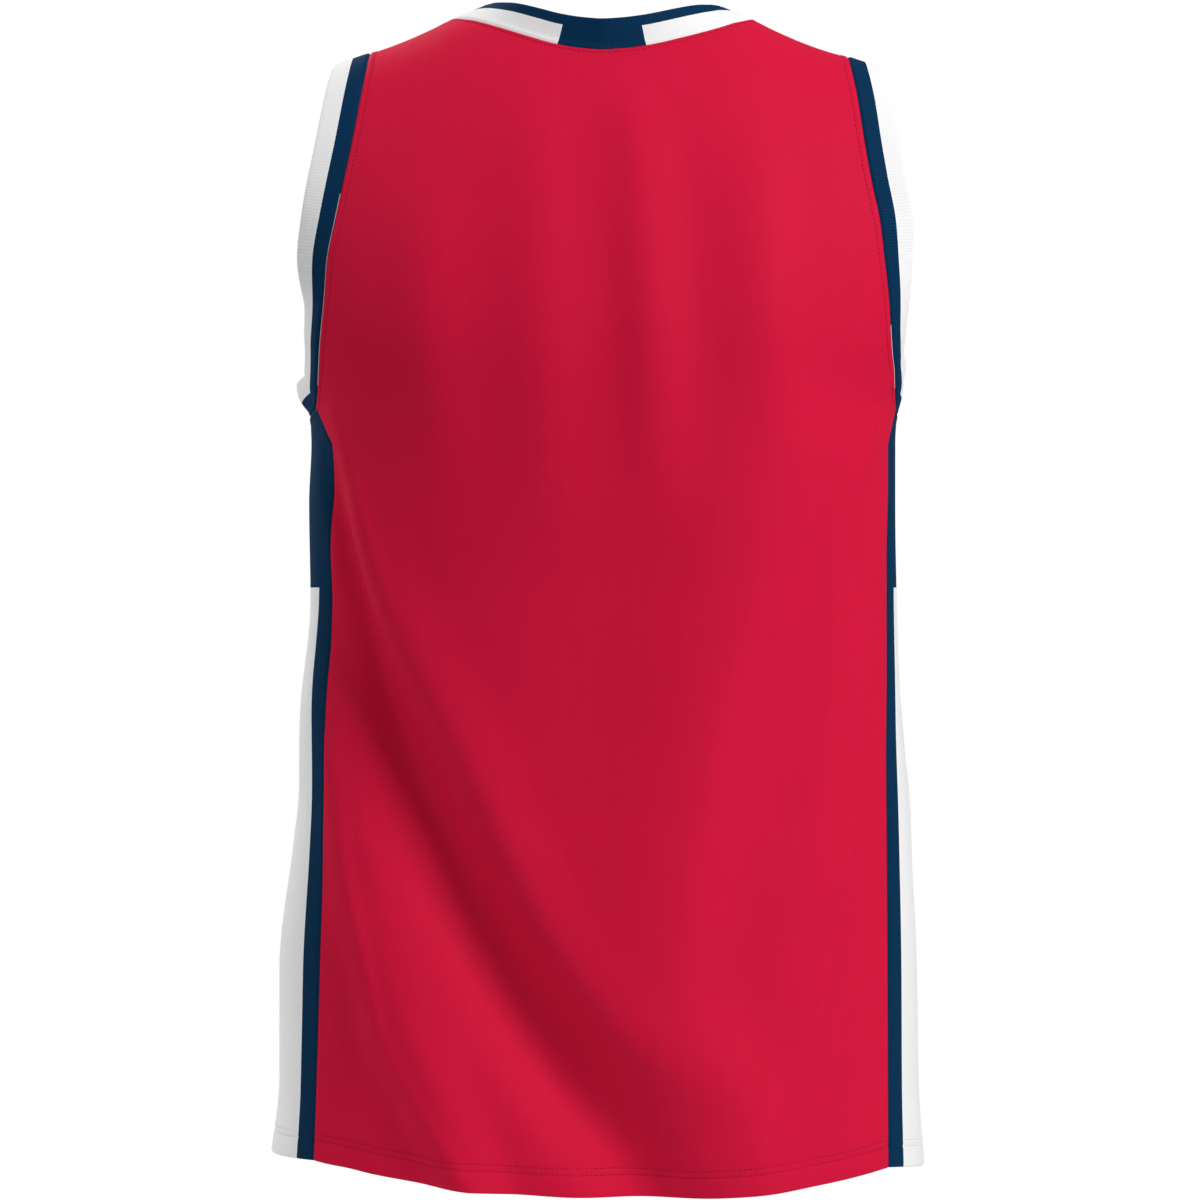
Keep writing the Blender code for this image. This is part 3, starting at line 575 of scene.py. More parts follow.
def half_panel(face, left):
    """Distances across and heights of half a big panel: rows up, columns from the edge inwards.

    Above the neck's corner only the strap's columns are real.
    """
    neck_x, neck_climb, neck_length = neck_line(face, left)
    corner = NECK_CORNER[face]
    corner_climb, corner_length = (float(np.interp(corner, neck_x[::-1], values[::-1]))
                                   for values in (neck_climb, neck_length))
    lengths = np.linspace(corner_length, neck_length[-1], HALF_NECK_COLUMNS + 1)[1:]
    near = NEAR_SEAM / STRAP_WIDTH
    strap = np.concatenate([near, np.linspace(near[-1], 1 - near[-1], STRAP_CELLS + 1)[1:-1],
                            1 - near[::-1]])
    top_climb = np.append(np.full(len(strap), corner_climb),
                          np.interp(lengths, neck_length, neck_climb))
    corner_share = corner / armhole_at_climb(face, left, corner_climb)
    neck_share = np.interp(lengths, neck_length, neck_x)
    neck_share = neck_share / armhole_at_climb(face, left, top_climb[len(strap):])
    top_share = np.append(1 + (corner_share - 1) * strap, neck_share)
    near = 1 - NEAR_SEAM / seam_half(face, left, SLANT_HEIGHT)
    low_share = np.append(near, np.linspace(near[-1], 0, len(top_share) - len(near) + 1)[1:])
    hem = read_table(HEM, "across", face, low_share if left else -low_share) * MM
    heights = lower_heights(hem, UNDERARM_HEIGHT)
    climb = to_seam(PANEL_RISE, ROWS_TO_NECK[face])[:, None] * top_climb
    edge = np.concatenate([seam_half(face, left, heights), armhole_at_climb(face, left, climb)])
    drift = np.linspace(0, 1, len(edge))[:, None] ** COLUMN_DRIFT
    across = (low_share + (top_share - low_share) * drift) * edge
    heights = np.concatenate([heights, climb_height(across[len(heights):], climb)])
    strap_across, strap_heights = strap_rows(face, left, strap, corner_climb, (neck_x, neck_climb))
    blank = ((0, 0), (0, HALF_NECK_COLUMNS))
    return (np.concatenate([across, np.pad(strap_across, blank, mode="edge")]),
            np.concatenate([heights, np.pad(strap_heights, blank, mode="edge")]))


def big_panel(face):
    """Angles and heights of the back or front panel: rows up, columns round to the left."""
    (left_x, left_z), (right_x, right_z) = (half_panel(face, left) for left in (True, False))
    across = np.concatenate([left_x, -right_x[:, -2::-1]], axis=1)
    heights = np.concatenate([left_z, right_z[:, -2::-1]], axis=1)
    angles = angle_of_width(across, face == "back", heights)
    step = 1 if face == "back" else -1
    return angles[:, ::step], heights[:, ::step]


print("the back panel is a grid of", big_panel("back")[0].shape)

# %% Cutting the side panels
UNDERARM_DIP = 4 * MM            # sag of the armhole between the side panel's corners


def side_panel(left):
    """Angles and heights of a side panel, in the same order.

    The columns beside its two seams keep their distances, and so do the stripes.
    """
    sign = 1 if left else -1
    front_hem, back_hem = (read_table(HEM, "across", face, sign) * MM for face in ("front", "back"))
    edges = lower_heights(np.array([front_hem, back_hem]), UNDERARM_HEIGHT)
    front, back = (angle_of_width(sign * seam_half(face, left, edges[:, column]), face == "back",
                                  edges[:, column])
                   for column, face in enumerate(("front", "back")))
    width = np.linalg.norm(body_point(back, edges[:, 1]) - body_point(front, edges[:, 0]), axis=1)
    near = np.append(NEAR_SEAM, ((NEAR_SEAM[-1] + STRIPE_WIDTH) / 2, STRIPE_WIDTH)) / width[:, None]
    middle = near[:, -1:] + (1 - 2 * near[:, -1:]) * np.linspace(0, 1, SIDE_CELLS + 1)[None, 1:-1]
    across = np.concatenate([near, middle, 1 - near[:, ::-1]], axis=1)
    hem_middle = HEM_MIDDLE_LEFT if left else HEM_MIDDLE_RIGHT
    edge_to_edge = {"across": (0, 0.5, 1), "hem": (front_hem, hem_middle, back_hem)}
    hem = read_table(edge_to_edge, "across", "hem", across[0])
    heights = lower_heights(hem, UNDERARM_HEIGHT - UNDERARM_DIP * np.sin(math.pi * across[-1]))
    if not left:
        front = front + 2 * math.pi
    angles = front[:, None] + (back - front)[:, None] * across
    return angles[:, ::sign], heights[:, ::sign]


print("and a side panel one of", side_panel(True)[0].shape)

# %% [markdown]
# A material that follows the cloth needs to know where it is on the cut. Each sheet gets a UV map
# in metres: U runs round the body along a level line, and V runs up. Knit wales then hang
# straight down, at their true spacing, and meet well at the side seams.

# %% Sheets
RING_SAMPLES = 1201              # points of the level line that measures U
RING = np.linspace(-1.5 * math.pi, 1.5 * math.pi, RING_SAMPLES)
RING_LENGTH = measured(body_point(RING, SLANT_HEIGHT + 0 * RING))
STRAP_BLOCKS = (slice(0, STRAP_COLUMNS + 1), slice(-STRAP_COLUMNS - 1, None))


def grid_normals(points):
    """Outward normals of a grid of points."""
    return unit(np.cross(np.gradient(points, axis=1), np.gradient(points, axis=0)))


def corner_row(face):
    """The row of a big panel that holds the neck's corners."""
    return UNDERARM_ROW + ROWS_TO_NECK[face] + NEAR_ROWS


def top_row(face):
    """The row of a big panel that lies on the shoulder line."""
    return corner_row(face) + STRAP_ROWS[face] + NEAR_ROWS


def make_sheet(face):
    """Points, outward normals and places on the cut of one panel."""
    angles, heights = big_panel(face) if face in BIG_FACES else side_panel(face == "left")
    points = cloth_points(angles, heights)
    uv = np.stack([np.interp(angles, RING, RING_LENGTH), heights], axis=-1)
    if face in SIDE_FACES:
        return points, grid_normals(points), uv
    row = corner_row(face)
    normals = np.zeros_like(points)
    normals[:row + 1] = grid_normals(points[:row + 1])
    for columns in STRAP_BLOCKS:
        normals[row + 1:, columns] = grid_normals(points[row:, columns])[1:]
    return points, normals, uv


sheets = {face: make_sheet(face) for face in FACES}
for face in FACES:
    print(face, "grid", sheets[face][0].shape[:2])

# %% [markdown]
# ## Seams
#
# The neck and the two armholes are closed seams. Each one is walked as a list of places on the
# sheets, then measured out again at even steps, because a rib band wants even stations. At every
# station there are two directions: into the opening, and out of the cloth.

# %% Seam walks
def armhole_stations(left):
    """Places (panel, row, column) at each station round an armhole, from the shoulder.

    The opening lies on the left hand: down the front of the left armhole, down the back of the
    right one. Where two panels meet, a station has a place on each.
    """
    first, second, side = ("front", "back", "left") if left else ("back", "front", "right")
    down = [[(first, row, -1)] for row in range(top_row(first), UNDERARM_ROW, -1)]
    under = [[(side, UNDERARM_ROW, column)] for column in range(SIDE_COLUMNS + 1)]
    up = [[(second, row, 0)] for row in range(UNDERARM_ROW + 1, top_row(second))]
    down[0].append((second, top_row(second), 0))
    under[0].append((first, UNDERARM_ROW, -1))
    under[-1].append((second, UNDERARM_ROW, 0))
    return down + under + up


def neck_stations():
    """The same round the neck, from the left shoulder point over the back."""
    stations = []
    left, right = STRAP_COLUMNS, STRAP_COLUMNS + 2 * HALF_NECK_COLUMNS
    for face, other in (("back", "front"), ("front", "back")):
        corner, top = corner_row(face), top_row(face)
        stations.append([(face, top, left), (other, top_row(other), right)])
        stations += [[(face, row, left)] for row in range(top - 1, corner, -1)]
        stations += [[(face, corner, column)] for column in range(left, right + 1)]
        stations += [[(face, row, right)] for row in range(corner + 1, top)]
    return stations


print(len(neck_stations()), "places round the neck")

# %% Even steps along a seam
SMOOTHING_PASSES = 14            # each one spreads a value over its neighbours


def sampled(values, at, lengths):
    """Rows of values, known at some lengths along a line, read off at other lengths."""
    return np.stack([np.interp(at, lengths, column) for column in values.T], axis=-1)


def smoothed(ring):
    """Values round a closed ring, with small jitters ironed out."""
    for _ in range(SMOOTHING_PASSES):
        ring = ring / 2 + (np.roll(ring, 1, axis=0) + np.roll(ring, -1, axis=0)) / 4
    return ring


edge = sheets["back"][0][:, -1]
print("the back's left edge is", round(measured(edge)[-1] / MM), "mm long")

# %% Seam frames
STATION_STEP = 1.5 * MM          # from one station of a seam to the next
BLOCK_HALF = 27.5 * MM           # half of the navy block at the back of the collar


def seam_frame(stations, marks=None):
    """Even stations of a closed seam, with directions into its opening and out of the cloth.

    The marks, where there are any, are lengths along the seam that have to be stations too.
    """
    seam = np.array([sheets[places[0][0]][0][places[0][1:]] for places in stations])
    out = np.array([sum(sheets[face][1][row, column] for face, row, column in places)
                    for places in stations])
    lengths = measured(seam, closed=True)
    stops = [0.0, *(marks(seam, lengths) if marks else ()), lengths[-1]]
    at = np.concatenate([np.linspace(start, stop, round((stop - start) / STATION_STEP) + 1)[:-1]
                         for start, stop in zip(stops[:-1], stops[1:])])
    out = smoothed(sampled(unit(np.append(out, out[:1], axis=0)), at, lengths))
    seam = sampled(np.append(seam, seam[:1], axis=0), at, lengths)
    along = unit(smoothed(np.roll(seam, -1, axis=0) - np.roll(seam, 1, axis=0)))
    out = unit(out - along * (out * along).sum(-1, keepdims=True))
    return seam, np.cross(out, along), out


def block_marks(seam, lengths):
    """Lengths along the neck seam at the two sides of the navy block."""
    over_back = seam[:, 1] > 0
    count = int(np.argmin(over_back)) if over_back[0] else len(seam)
    across = seam[:count, 0]
    return [float(np.interp(-x, -across, lengths[:count])) for x in (BLOCK_HALF, -BLOCK_HALF)]


neck = seam_frame(neck_stations(), block_marks)
armholes = {side: seam_frame(armhole_stations(side == "left")) for side in SIDE_FACES}

# %% [markdown]
# ## Sewing marks
#
# A seam pulls the cloth down into a narrow groove. Beside it the turned allowance makes a low
# roll, and the topstitching presses a second, finer groove. The hem is a doubled edge with two
# rows of stitches above it. All of this is a small lift of each point along its normal, worked
# out from its distance to the seams. Blender's KDTree finds the nearest seam point quickly.

# %% Distances to the seams
SEAM_SAMPLE = 0.5 * MM           # from one searched point of a seam to the next
NECK_TOPSTITCH = 3.0 * MM        # from the neck seam to the stitches
ARM_TOPSTITCH = 4.6 * MM
HEM_NEEDLES = {13 * MM: 1.5, 17 * MM: 0.6}   # height of each row, and how tight it is pulled


def densely(line):
    """Points along a line, half a millimetre apart."""
    lengths = measured(line)
    return sampled(line, np.arange(0, lengths[-1], SEAM_SAMPLE), lengths)


def tree_of(*lines):
    """A search tree over the points of some lines."""
    points = np.concatenate([densely(line) for line in lines])
    tree = KDTree(len(points))
    for number, point in enumerate(points):
        tree.insert(point, number)
    tree.balance()
    return tree


def distances(tree, points):
    """Distance from each point of a grid to the nearest point in a tree."""
    found = [tree.find(point)[2] for point in points.reshape(-1, 3)]
    return np.array(found).reshape(points.shape[:2])


sewn = slice(0, UNDERARM_ROW + 1)
side_seams = [sheets[face][0][sewn, column] for face in SIDE_FACES for column in (0, -1)]
shoulder_seams = [sheets["back"][0][-1, columns] for columns in STRAP_BLOCKS]
neck_tree = tree_of(neck[0])
arm_tree = tree_of(*(loop[0] for loop in armholes.values()))
side_tree = tree_of(*side_seams, *shoulder_seams)
print("seam points", len(densely(neck[0])), "round the neck")

# %% Lifting the cloth along its seams
KNIT_SHELL = 0.9 * MM            # thickness of the cloth; real interlock is about 0.6 mm
SEAM_DIP = 0.8 * MM              # how deep a seam pulls the cloth in
SEAM_DIP_WIDTH = 1.0 * MM
ROLL = 0.3 * MM                  # height of the turned allowance's roll
STITCH_DIP = 0.28 * MM           # the same for a row of stitches
STITCH_DIP_WIDTH = 0.8 * MM
HEM_CURL = 0.35 * MM             # how far in the doubled hem's fold turns


def bell(distance, width):
    """A soft bump round distance zero."""
    return np.exp(-(distance / width) ** 2)


def sewing_lift(points):
    """How far sewing lifts each point of a panel out of the plain surface."""
    to_neck, to_arm, to_side = (distances(tree, points)
                                for tree in (neck_tree, arm_tree, side_tree))
    lift = 0 * to_neck
    for distance, needle in ((to_neck, NECK_TOPSTITCH), (to_arm, ARM_TOPSTITCH)):
        lift += ROLL * bell(distance - needle / 2, needle / 2)
        lift -= STITCH_DIP * bell(distance - needle, STITCH_DIP_WIDTH)
    to_seam_at_all = np.minimum(np.minimum(to_neck, to_arm), to_side)
    lift -= SEAM_DIP * bell(to_seam_at_all, SEAM_DIP_WIDTH)
    for row, height in enumerate(NEAR_HEM):
        lift[row] -= STITCH_DIP * sum(pull * bell(height - needle, STITCH_DIP_WIDTH)
                                      for needle, pull in HEM_NEEDLES.items())
        lift[row] -= HEM_CURL * bell(height, SEAM_DIP_WIDTH)
    return lift


outer = {}
for face, (points, normals, _) in sheets.items():
    outer[face] = points + normals * (KNIT_SHELL / 2 + sewing_lift(points))[..., None]
print("sewing marks on", sum(points[..., 0].size for points in outer.values()), "points")

# %% [markdown]
# ## Finishes
#
# Screens show sRGB colours, and a shader counts in linear light. One function turns a hex colour
# from one to the other, by the curve of the sRGB standard. Another adds a node with its settings
# and links, so that each material reads as a list of what is mixed into it. Each finish of the
# jersey starts in the same way, from the place of a point on the cut.

# %% Colour and node helpers
def linear(hex_colour):
    """An sRGB hex colour as linear light, with full alpha. The numbers are the standard's."""
    shares = [int(hex_colour[place:place + 2], 16) / 255 for place in (0, 2, 4)]
    return [share / 12.92 if share <= 0.04045 else ((share + 0.055) / 1.055) ** 2.4
            for share in shares] + [1.0]


def fill(node, inputs):
    """Fill inputs of a node with values, or with links from the sockets that are given."""
    for name, value in inputs.items():
        if isinstance(value, bpy.types.NodeSocket):
            node.id_data.links.new(value, node.inputs[name])
        else:
            node.inputs[name].default_value = value


def add(material, kind, inputs, **settings):
    """Add a node to a material or a world, with its inputs and its settings."""
    node = material.node_tree.nodes.new("ShaderNode" + kind)
    for name, value in settings.items():
        setattr(node, name, value)
    fill(node, inputs)
    return node


def start_finish(name):
    """A new material, its surface shader, and the place of each point on the cut."""
    material = bpy.data.materials.new(name)
    material.use_nodes = True
    cut = add(material, "UVMap", {}, uv_map="cut").outputs["UV"]
    return material, material.node_tree.nodes["Principled BSDF"], cut


WAVE_LENGTH = math.pi / 10       # a Wave Texture's bands at scale 1 are this far apart
POLYESTER_IOR = 1.57
print("mid grey in linear light", round(linear("808080")[0], 3))

# %% [markdown]
# ### Polyester interlock knit
#
# Sports jerseys are cut from polyester interlock: a smooth double knit of fine yarn, dyed or
# printed. Close to, its loops stand in upright wales about 0.8 mm apart. That is finer than a
# render of the whole garment shows, so the wales here are twice as wide, with courses across
# them. Stretched noise gives the faint upright streaks of a knit that hangs, and broad noise
# gives the slight unevenness of dye. Polyester has an IOR of about 1.57, but its loops scatter
# nearly all the gloss of the yarn, so the specular level is low.

# %% Interlock knit
WALE = 1.6 * MM                  # real wales are 0.8 mm apart
COURSE = 2.0 * MM
KNIT_RELIEF = 0.05 * MM          # height of the loops over the hollows between them
STREAKS_PER_METRE = (220, 7, 1)  # each about 4.5 mm wide and 140 mm long
DYE_PATCHES_PER_METRE = 14.0     # each about 70 mm across
LOOP_GLOSS = 0.04                # specular level of looped yarn


def interlock_knit(name, colour, deep_colour):
    """Smooth polyester double knit, in a colour that drifts towards a deeper one in streaks and dye
    patches.
    """
    knit, shader, cut = start_finish(name)
    wales = add(knit, "TexWave", {"Vector": cut, "Scale": WAVE_LENGTH / WALE, "Distortion": 0.6,
                                  "Detail": 1.0, "Detail Scale": 0.4}, bands_direction="X")
    courses = add(knit, "TexWave", {"Vector": cut, "Scale": WAVE_LENGTH / COURSE, "Distortion": 1.0,
                                    "Detail": 1.0, "Detail Scale": 0.6}, bands_direction="Y")
    loops = add(knit, "Mix", {"Factor": 0.35, "A": wales.outputs["Fac"],
                              "B": courses.outputs["Fac"]})
    hang = add(knit, "Mapping", {"Vector": cut, "Scale": STREAKS_PER_METRE})
    streaks = add(knit, "TexNoise", {"Vector": hang.outputs["Vector"], "Scale": 1.0, "Detail": 3.0})
    dye = add(knit, "TexNoise", {"Vector": cut, "Scale": DYE_PATCHES_PER_METRE, "Detail": 2.0})
    depth = add(knit, "Mix", {"Factor": 0.5, "A": streaks.outputs["Fac"], "B": dye.outputs["Fac"]})
    tone = add(knit, "MapRange", {"Value": depth.outputs[0], "From Min": 0.35, "From Max": 0.65,
                                  "To Min": 0.0, "To Max": 0.14})
    hue = add(knit, "MixRGB", {"Fac": tone.outputs[0], "Color1": linear(colour),
                               "Color2": linear(deep_colour)})
    bump = add(knit, "Bump", {"Strength": 0.4, "Distance": KNIT_RELIEF, "Height": loops.outputs[0]})
    gloss = add(knit, "MapRange", {"Value": loops.outputs[0], "To Min": 0.72, "To Max": 0.6})
    fill(shader, {"Base Color": hue.outputs[0], "Roughness": gloss.outputs[0],
                  "Normal": bump.outputs["Normal"], "IOR": POLYESTER_IOR,
                  "Specular IOR Level": LOOP_GLOSS})
    return knit


scarlet_knit = interlock_knit("scarlet polyester interlock", "D3163D", "C00F33")
navy_knit = interlock_knit("navy polyester interlock", "033151", "042740")
white_knit = interlock_knit("white polyester interlock", "F3F3F4", "ECECEE")
print("wale scale", round(WAVE_LENGTH / WALE))

# %% [markdown]
# ### One-by-one rib
#
# The collar and the armhole trims are rib, knitted one loop to the front and one to the back, so
# that ridges run straight across the band and it stretches round a curve. A real ridge is about
# 1.2 mm wide, and it is drawn wider here, so that it shows in a render of the whole jersey. The
# rib's U runs along the band, so bands in X stand across it.

# %% Rib
RIDGE = 2.0 * MM                 # real ridges are 1.2 mm apart
RIB_RELIEF = 0.12 * MM           # height of the ridges over the grooves
YARN_LUMPS_PER_METRE = 420.0     # each about 2.4 mm across


def rib_knit(name, colour, deep_colour):
    """Polyester rib whose ridges run across the band, with painted shade in the grooves."""
    rib, shader, cut = start_finish(name)
    ridges = add(rib, "TexWave", {"Vector": cut, "Scale": WAVE_LENGTH / RIDGE, "Distortion": 0.5,
                                  "Detail": 1.0, "Detail Scale": 0.5}, bands_direction="X")
    yarn = add(rib, "TexNoise", {"Vector": cut, "Scale": YARN_LUMPS_PER_METRE, "Detail": 2.0})
    height = add(rib, "Mix", {"Factor": 0.4, "A": ridges.outputs["Fac"], "B": yarn.outputs["Fac"]})
    # Painted shade: the grooves between the ridges take the deeper colour, and yarn lumps vary it
    # at random.
    hue = add(rib, "MixRGB", {"Fac": height.outputs[0], "Color1": linear(deep_colour),
                              "Color2": linear(colour)})
    bump = add(rib, "Bump", {"Strength": 0.7, "Distance": RIB_RELIEF, "Height": height.outputs[0]})
    fill(shader, {"Base Color": hue.outputs[0], "Roughness": 0.75,
                  "Normal": bump.outputs["Normal"], "IOR": POLYESTER_IOR,
                  "Specular IOR Level": LOOP_GLOSS})
    return rib


# The second colour of each rib is the painted shade of its grooves.
white_rib = rib_knit("white polyester rib", "F8F8F8", "EEEEEF")
navy_rib = rib_knit("navy polyester rib", "04365B", "042A47")
print("ridge scale", round(WAVE_LENGTH / RIDGE))

# %% [markdown]
# ### Sewing thread
#
# Jerseys are sewn with spun polyester thread in the colour of the cloth; the scarlet thread here is
# a deeper red than its cloth, which paints the shade of the grooves its stitches press in. Thread
# is two or three plies twisted together, and slanted bands of a lighter and a deeper colour paint
# the glints and the shade of the plies along each stitch. It is drawn a little thicker than real,
# and its plies longer, so that a stitch still shows beside a whole panel.

# %% Thread
PLY = 0.8 * MM                   # real plies turn once in about 0.5 mm
TWIST_GLOSS = 0.1                # straight fibres keep a little more gloss than loops


def spun_thread(name, colour, deep_colour):
    """Twisted polyester sewing thread, with the glints and shade of its plies painted in slanted
    bands.
    """
    thread, shader, cut = start_finish(name)
    plies = add(thread, "TexWave", {"Vector": cut, "Scale": WAVE_LENGTH / PLY},
                bands_direction="DIAGONAL")
    # Painted highlight and shade: slanted bands of the lighter and the deeper colour stand for
    # glints on the plies and shade between them.
    hue = add(thread, "MixRGB", {"Fac": plies.outputs["Fac"], "Color1": linear(deep_colour),
                                 "Color2": linear(colour)})
    fill(shader, {"Base Color": hue.outputs[0], "Roughness": 0.6, "IOR": POLYESTER_IOR,
                  "Specular IOR Level": TWIST_GLOSS})
    return thread


# The scarlet thread is a deeper red than its cloth: painted shade of the grooves that its stitches
# press in.
red_thread = spun_thread("scarlet polyester thread", "B81036", "900A2A")
navy_thread = spun_thread("navy polyester thread", "06365A", "042440")
white_thread = spun_thread("white polyester thread", "EAEAEB", "CFD0D2")
print("ply scale", round(WAVE_LENGTH / PLY))

# %% [markdown]
# ## The panels
#
# Each grid becomes a mesh of one layer, with a UV map called "cut" and a finish for each cell. A
# Solidify modifier then gives it the thickness of the knit. A vertex group doubles that thickness
# along the hem, where the cloth is turned up and lies on itself.

# %% Meshes
def make_piece(name, points, faces, corner_uv, cells, finishes):
    """A smooth object from its points, its faces and their corners' places on the cut."""
    mesh = bpy.data.meshes.new(name)
    mesh.from_pydata(points.tolist(), [], faces)
    mesh.uv_layers.new(name="cut").uv.foreach_set("vector", corner_uv.astype("f").ravel())
    mesh.polygons.foreach_set("material_index", cells)
    for finish in finishes:
        mesh.materials.append(finish)
    mesh.shade_smooth()
    return put(name, mesh)


def cell_corners(grid):
    """What a grid holds at the four corners of each of its cells, in turn."""
    return np.stack([grid[:-1, :-1], grid[:-1, 1:], grid[1:, 1:], grid[1:, :-1]], axis=2)


def grid_object(name, points, uv, finishes, cells, kept=None, closed=False):
    """An object over a grid of points. cells gives each cell's place in the list of finishes.

    Points that aren't kept are left out. A closed grid joins its last row and its last column to
    its first ones.
    """
    kept = np.ones(points.shape[:2], bool) if kept is None else kept
    points = points[kept]
    numbers = np.cumsum(kept).reshape(kept.shape) - 1
    if closed:
        numbers, kept = (np.pad(values, (0, 1), mode="wrap") for values in (numbers, kept))
        uv = np.append(uv, 2 * uv[:, -1:] - uv[:, -2:-1], axis=1)
        uv = np.append(uv, uv[:1], axis=0)
    whole = cell_corners(kept).all(axis=2)
    print(name, np.count_nonzero(whole), "cells")
    return make_piece(name, points, cell_corners(numbers)[whole].tolist(), cell_corners(uv)[whole],
                      np.broadcast_to(cells, whole.shape)[whole], finishes)


print("a grid of 3 by 3 points has", cell_corners(np.ones((3, 3))).shape[:2], "cells")

# %% Thickness
def thicken(piece, hem_rows):
    """Give a panel the thickness of its knit, twice that along the hem."""
    hem = piece.vertex_groups.new(name="hem")
    hem.add(np.flatnonzero(hem_rows).tolist(), 1.0, "REPLACE")
    solidify = piece.modifiers.new("knit thickness", "SOLIDIFY")
    solidify.thickness = 2 * KNIT_SHELL
    solidify.offset = -1                         # inwards
    solidify.vertex_group = "hem"
    solidify.thickness_vertex_group = 0.5        # the share outside the group


print("panels", round(KNIT_SHELL / MM, 1), "mm thick, and twice that along the hem")

# %% Panels
WHITE_CELL, NAVY_CELL = 0, 1
TURNED_UP = 17 * MM              # height of the hem's doubled cloth
panels = {}


def hem_points(face):
    """Which points of a panel's grid lie on the turned-up hem."""
    low = np.zeros(outer[face].shape[:2], bool)
    low[:int(np.searchsorted(NEAR_HEM, TURNED_UP)) + 1] = True
    return low.ravel()


def neck_cut(face):
    """Which points of a big panel's grid are cloth: all but those between its straps."""
    kept = np.ones(outer[face].shape[:2], bool)
    kept[corner_row(face) + 1:, STRAP_COLUMNS + 1:-STRAP_COLUMNS - 1] = False
    return kept


def side_print():
    """Finish of each cell of a side panel: navy stripes on white, all navy above the change."""
    cells = np.full((UNDERARM_ROW, SIDE_COLUMNS), WHITE_CELL)
    cells[:, :STRIPE_COLUMN] = cells[:, -STRIPE_COLUMN:] = NAVY_CELL
    cells[PRINT_ROW:] = NAVY_CELL
    return cells


for face in BIG_FACES:
    panels[face] = grid_object(face + "_panel_cloth", outer[face], sheets[face][2],
                               [scarlet_knit], 0, kept=neck_cut(face))
for face in SIDE_FACES:
    panels[face] = grid_object("side_panel_" + face + "_cloth", outer[face], sheets[face][2],
                               [white_knit, navy_knit], side_print())
for face, panel in panels.items():
    thicken(panel, hem_points(face))

# %% [markdown]
# ## The rib bands
#
# Collar and trims are strips of rib folded in half along their outer edge and sewn on by their
# two raw edges. A lathe can't make them, because the openings are not flat. So the section of a
# folded band is drawn once, as distance from the seam and height over the middle of the band,
# and every station of the seam carries a copy of it, leant out of the cloth by a table.

# %% Band section
RIB_WALL = 1.9 * MM              # thickness of the folded band, both its layers
BAND_DIP = 1.1 * MM              # how deep its seam pulls it in
NEAR_BAND_SEAM = np.array([0, 0.35, 1.3, 2, 3]) * MM
CELLS_TO_STRIPE = 5
CELLS_TO_FOLD = 4
FOLD_CELLS = 6
INNER_CELLS = 6


def band_section(width, colour_line):
    """Distances from the seam and heights round the section of a folded band.

    They start at the seam, run over the outer layer, turn at the fold and come back inside.
    """
    half_wall = RIB_WALL / 2
    flat = width - half_wall
    to_stripe = np.linspace(NEAR_BAND_SEAM[-1], colour_line, CELLS_TO_STRIPE + 1)[1:]
    to_fold = np.linspace(colour_line, flat, CELLS_TO_FOLD + 1)[1:]
    across = np.concatenate([NEAR_BAND_SEAM, to_stripe, to_fold])
    turn = np.linspace(math.pi / 2, -math.pi / 2, FOLD_CELLS + 1)[1:]
    back = np.linspace(flat, 0, INNER_CELLS + 1)[1:]
    distance = np.concatenate([across, flat + half_wall * np.cos(turn), back])
    height = np.concatenate([half_wall - BAND_DIP * bell(across, SEAM_DIP_WIDTH),
                             half_wall * np.sin(turn), np.full(INNER_CELLS, -half_wall)])
    return distance, height


print("a band's section has", NEAR_BAND_SEAM.size + CELLS_TO_STRIPE + CELLS_TO_FOLD, "outer points")

# %% Leans of the bands
# Lean of the armhole trim out of the panel's surface, in degrees, at its seam and at its edge.
# "around" runs from the shoulder down the back, under the arm and up the front.
TRIM_LEAN = {
    "around":     (0.00, 0.10, 0.20, 0.27, 0.33, 0.37, 0.42, 0.50, 0.58, 0.66, 0.80, 1.00),
    "root_left":  (-6, 5, 10, 0, -19, -18, -3, 38, 24, 6, 2, -6),
    "edge_left":  (-10, 6, 10, 0, -20, -18, -8, 0, 0, 4, 2, -10),
    "root_right": (-6, 5, 8, -6, -16, -18, -4, 15, 14, 6, 2, -6),
    "edge_right": (-10, 6, 8, -8, -20, -22, -10, -4, 0, 4, 2, -10),
}

# Lean of the collar, in degrees, over its seam's depth from the shoulder line towards the back.
COLLAR_LEAN = {
    "depth": (-110, -60, -20, 0, 20, 40, 55, 75),
    "lean":  (9, 9, 3, -2, 0, 8, 22, 36),
}
print("trims lean", max(TRIM_LEAN["root_left"]), "degrees at most")

# %% Leaning a band
LEAN_FROM = 1 * MM               # distance from the seam at which a band starts to lean
LEAN_FULL = 5 * MM               # and at which it leans in full
LEAN_STEP = 0.25 * MM            # its curve is added up in steps of this length
PAST_THE_EDGE = 1 * MM           # so that the section's last point has a step beyond it


def ease(t):
    """A soft step from 0 to 1."""
    t = np.clip(t, 0.0, 1.0)
    return t * t * (3 - 2 * t)


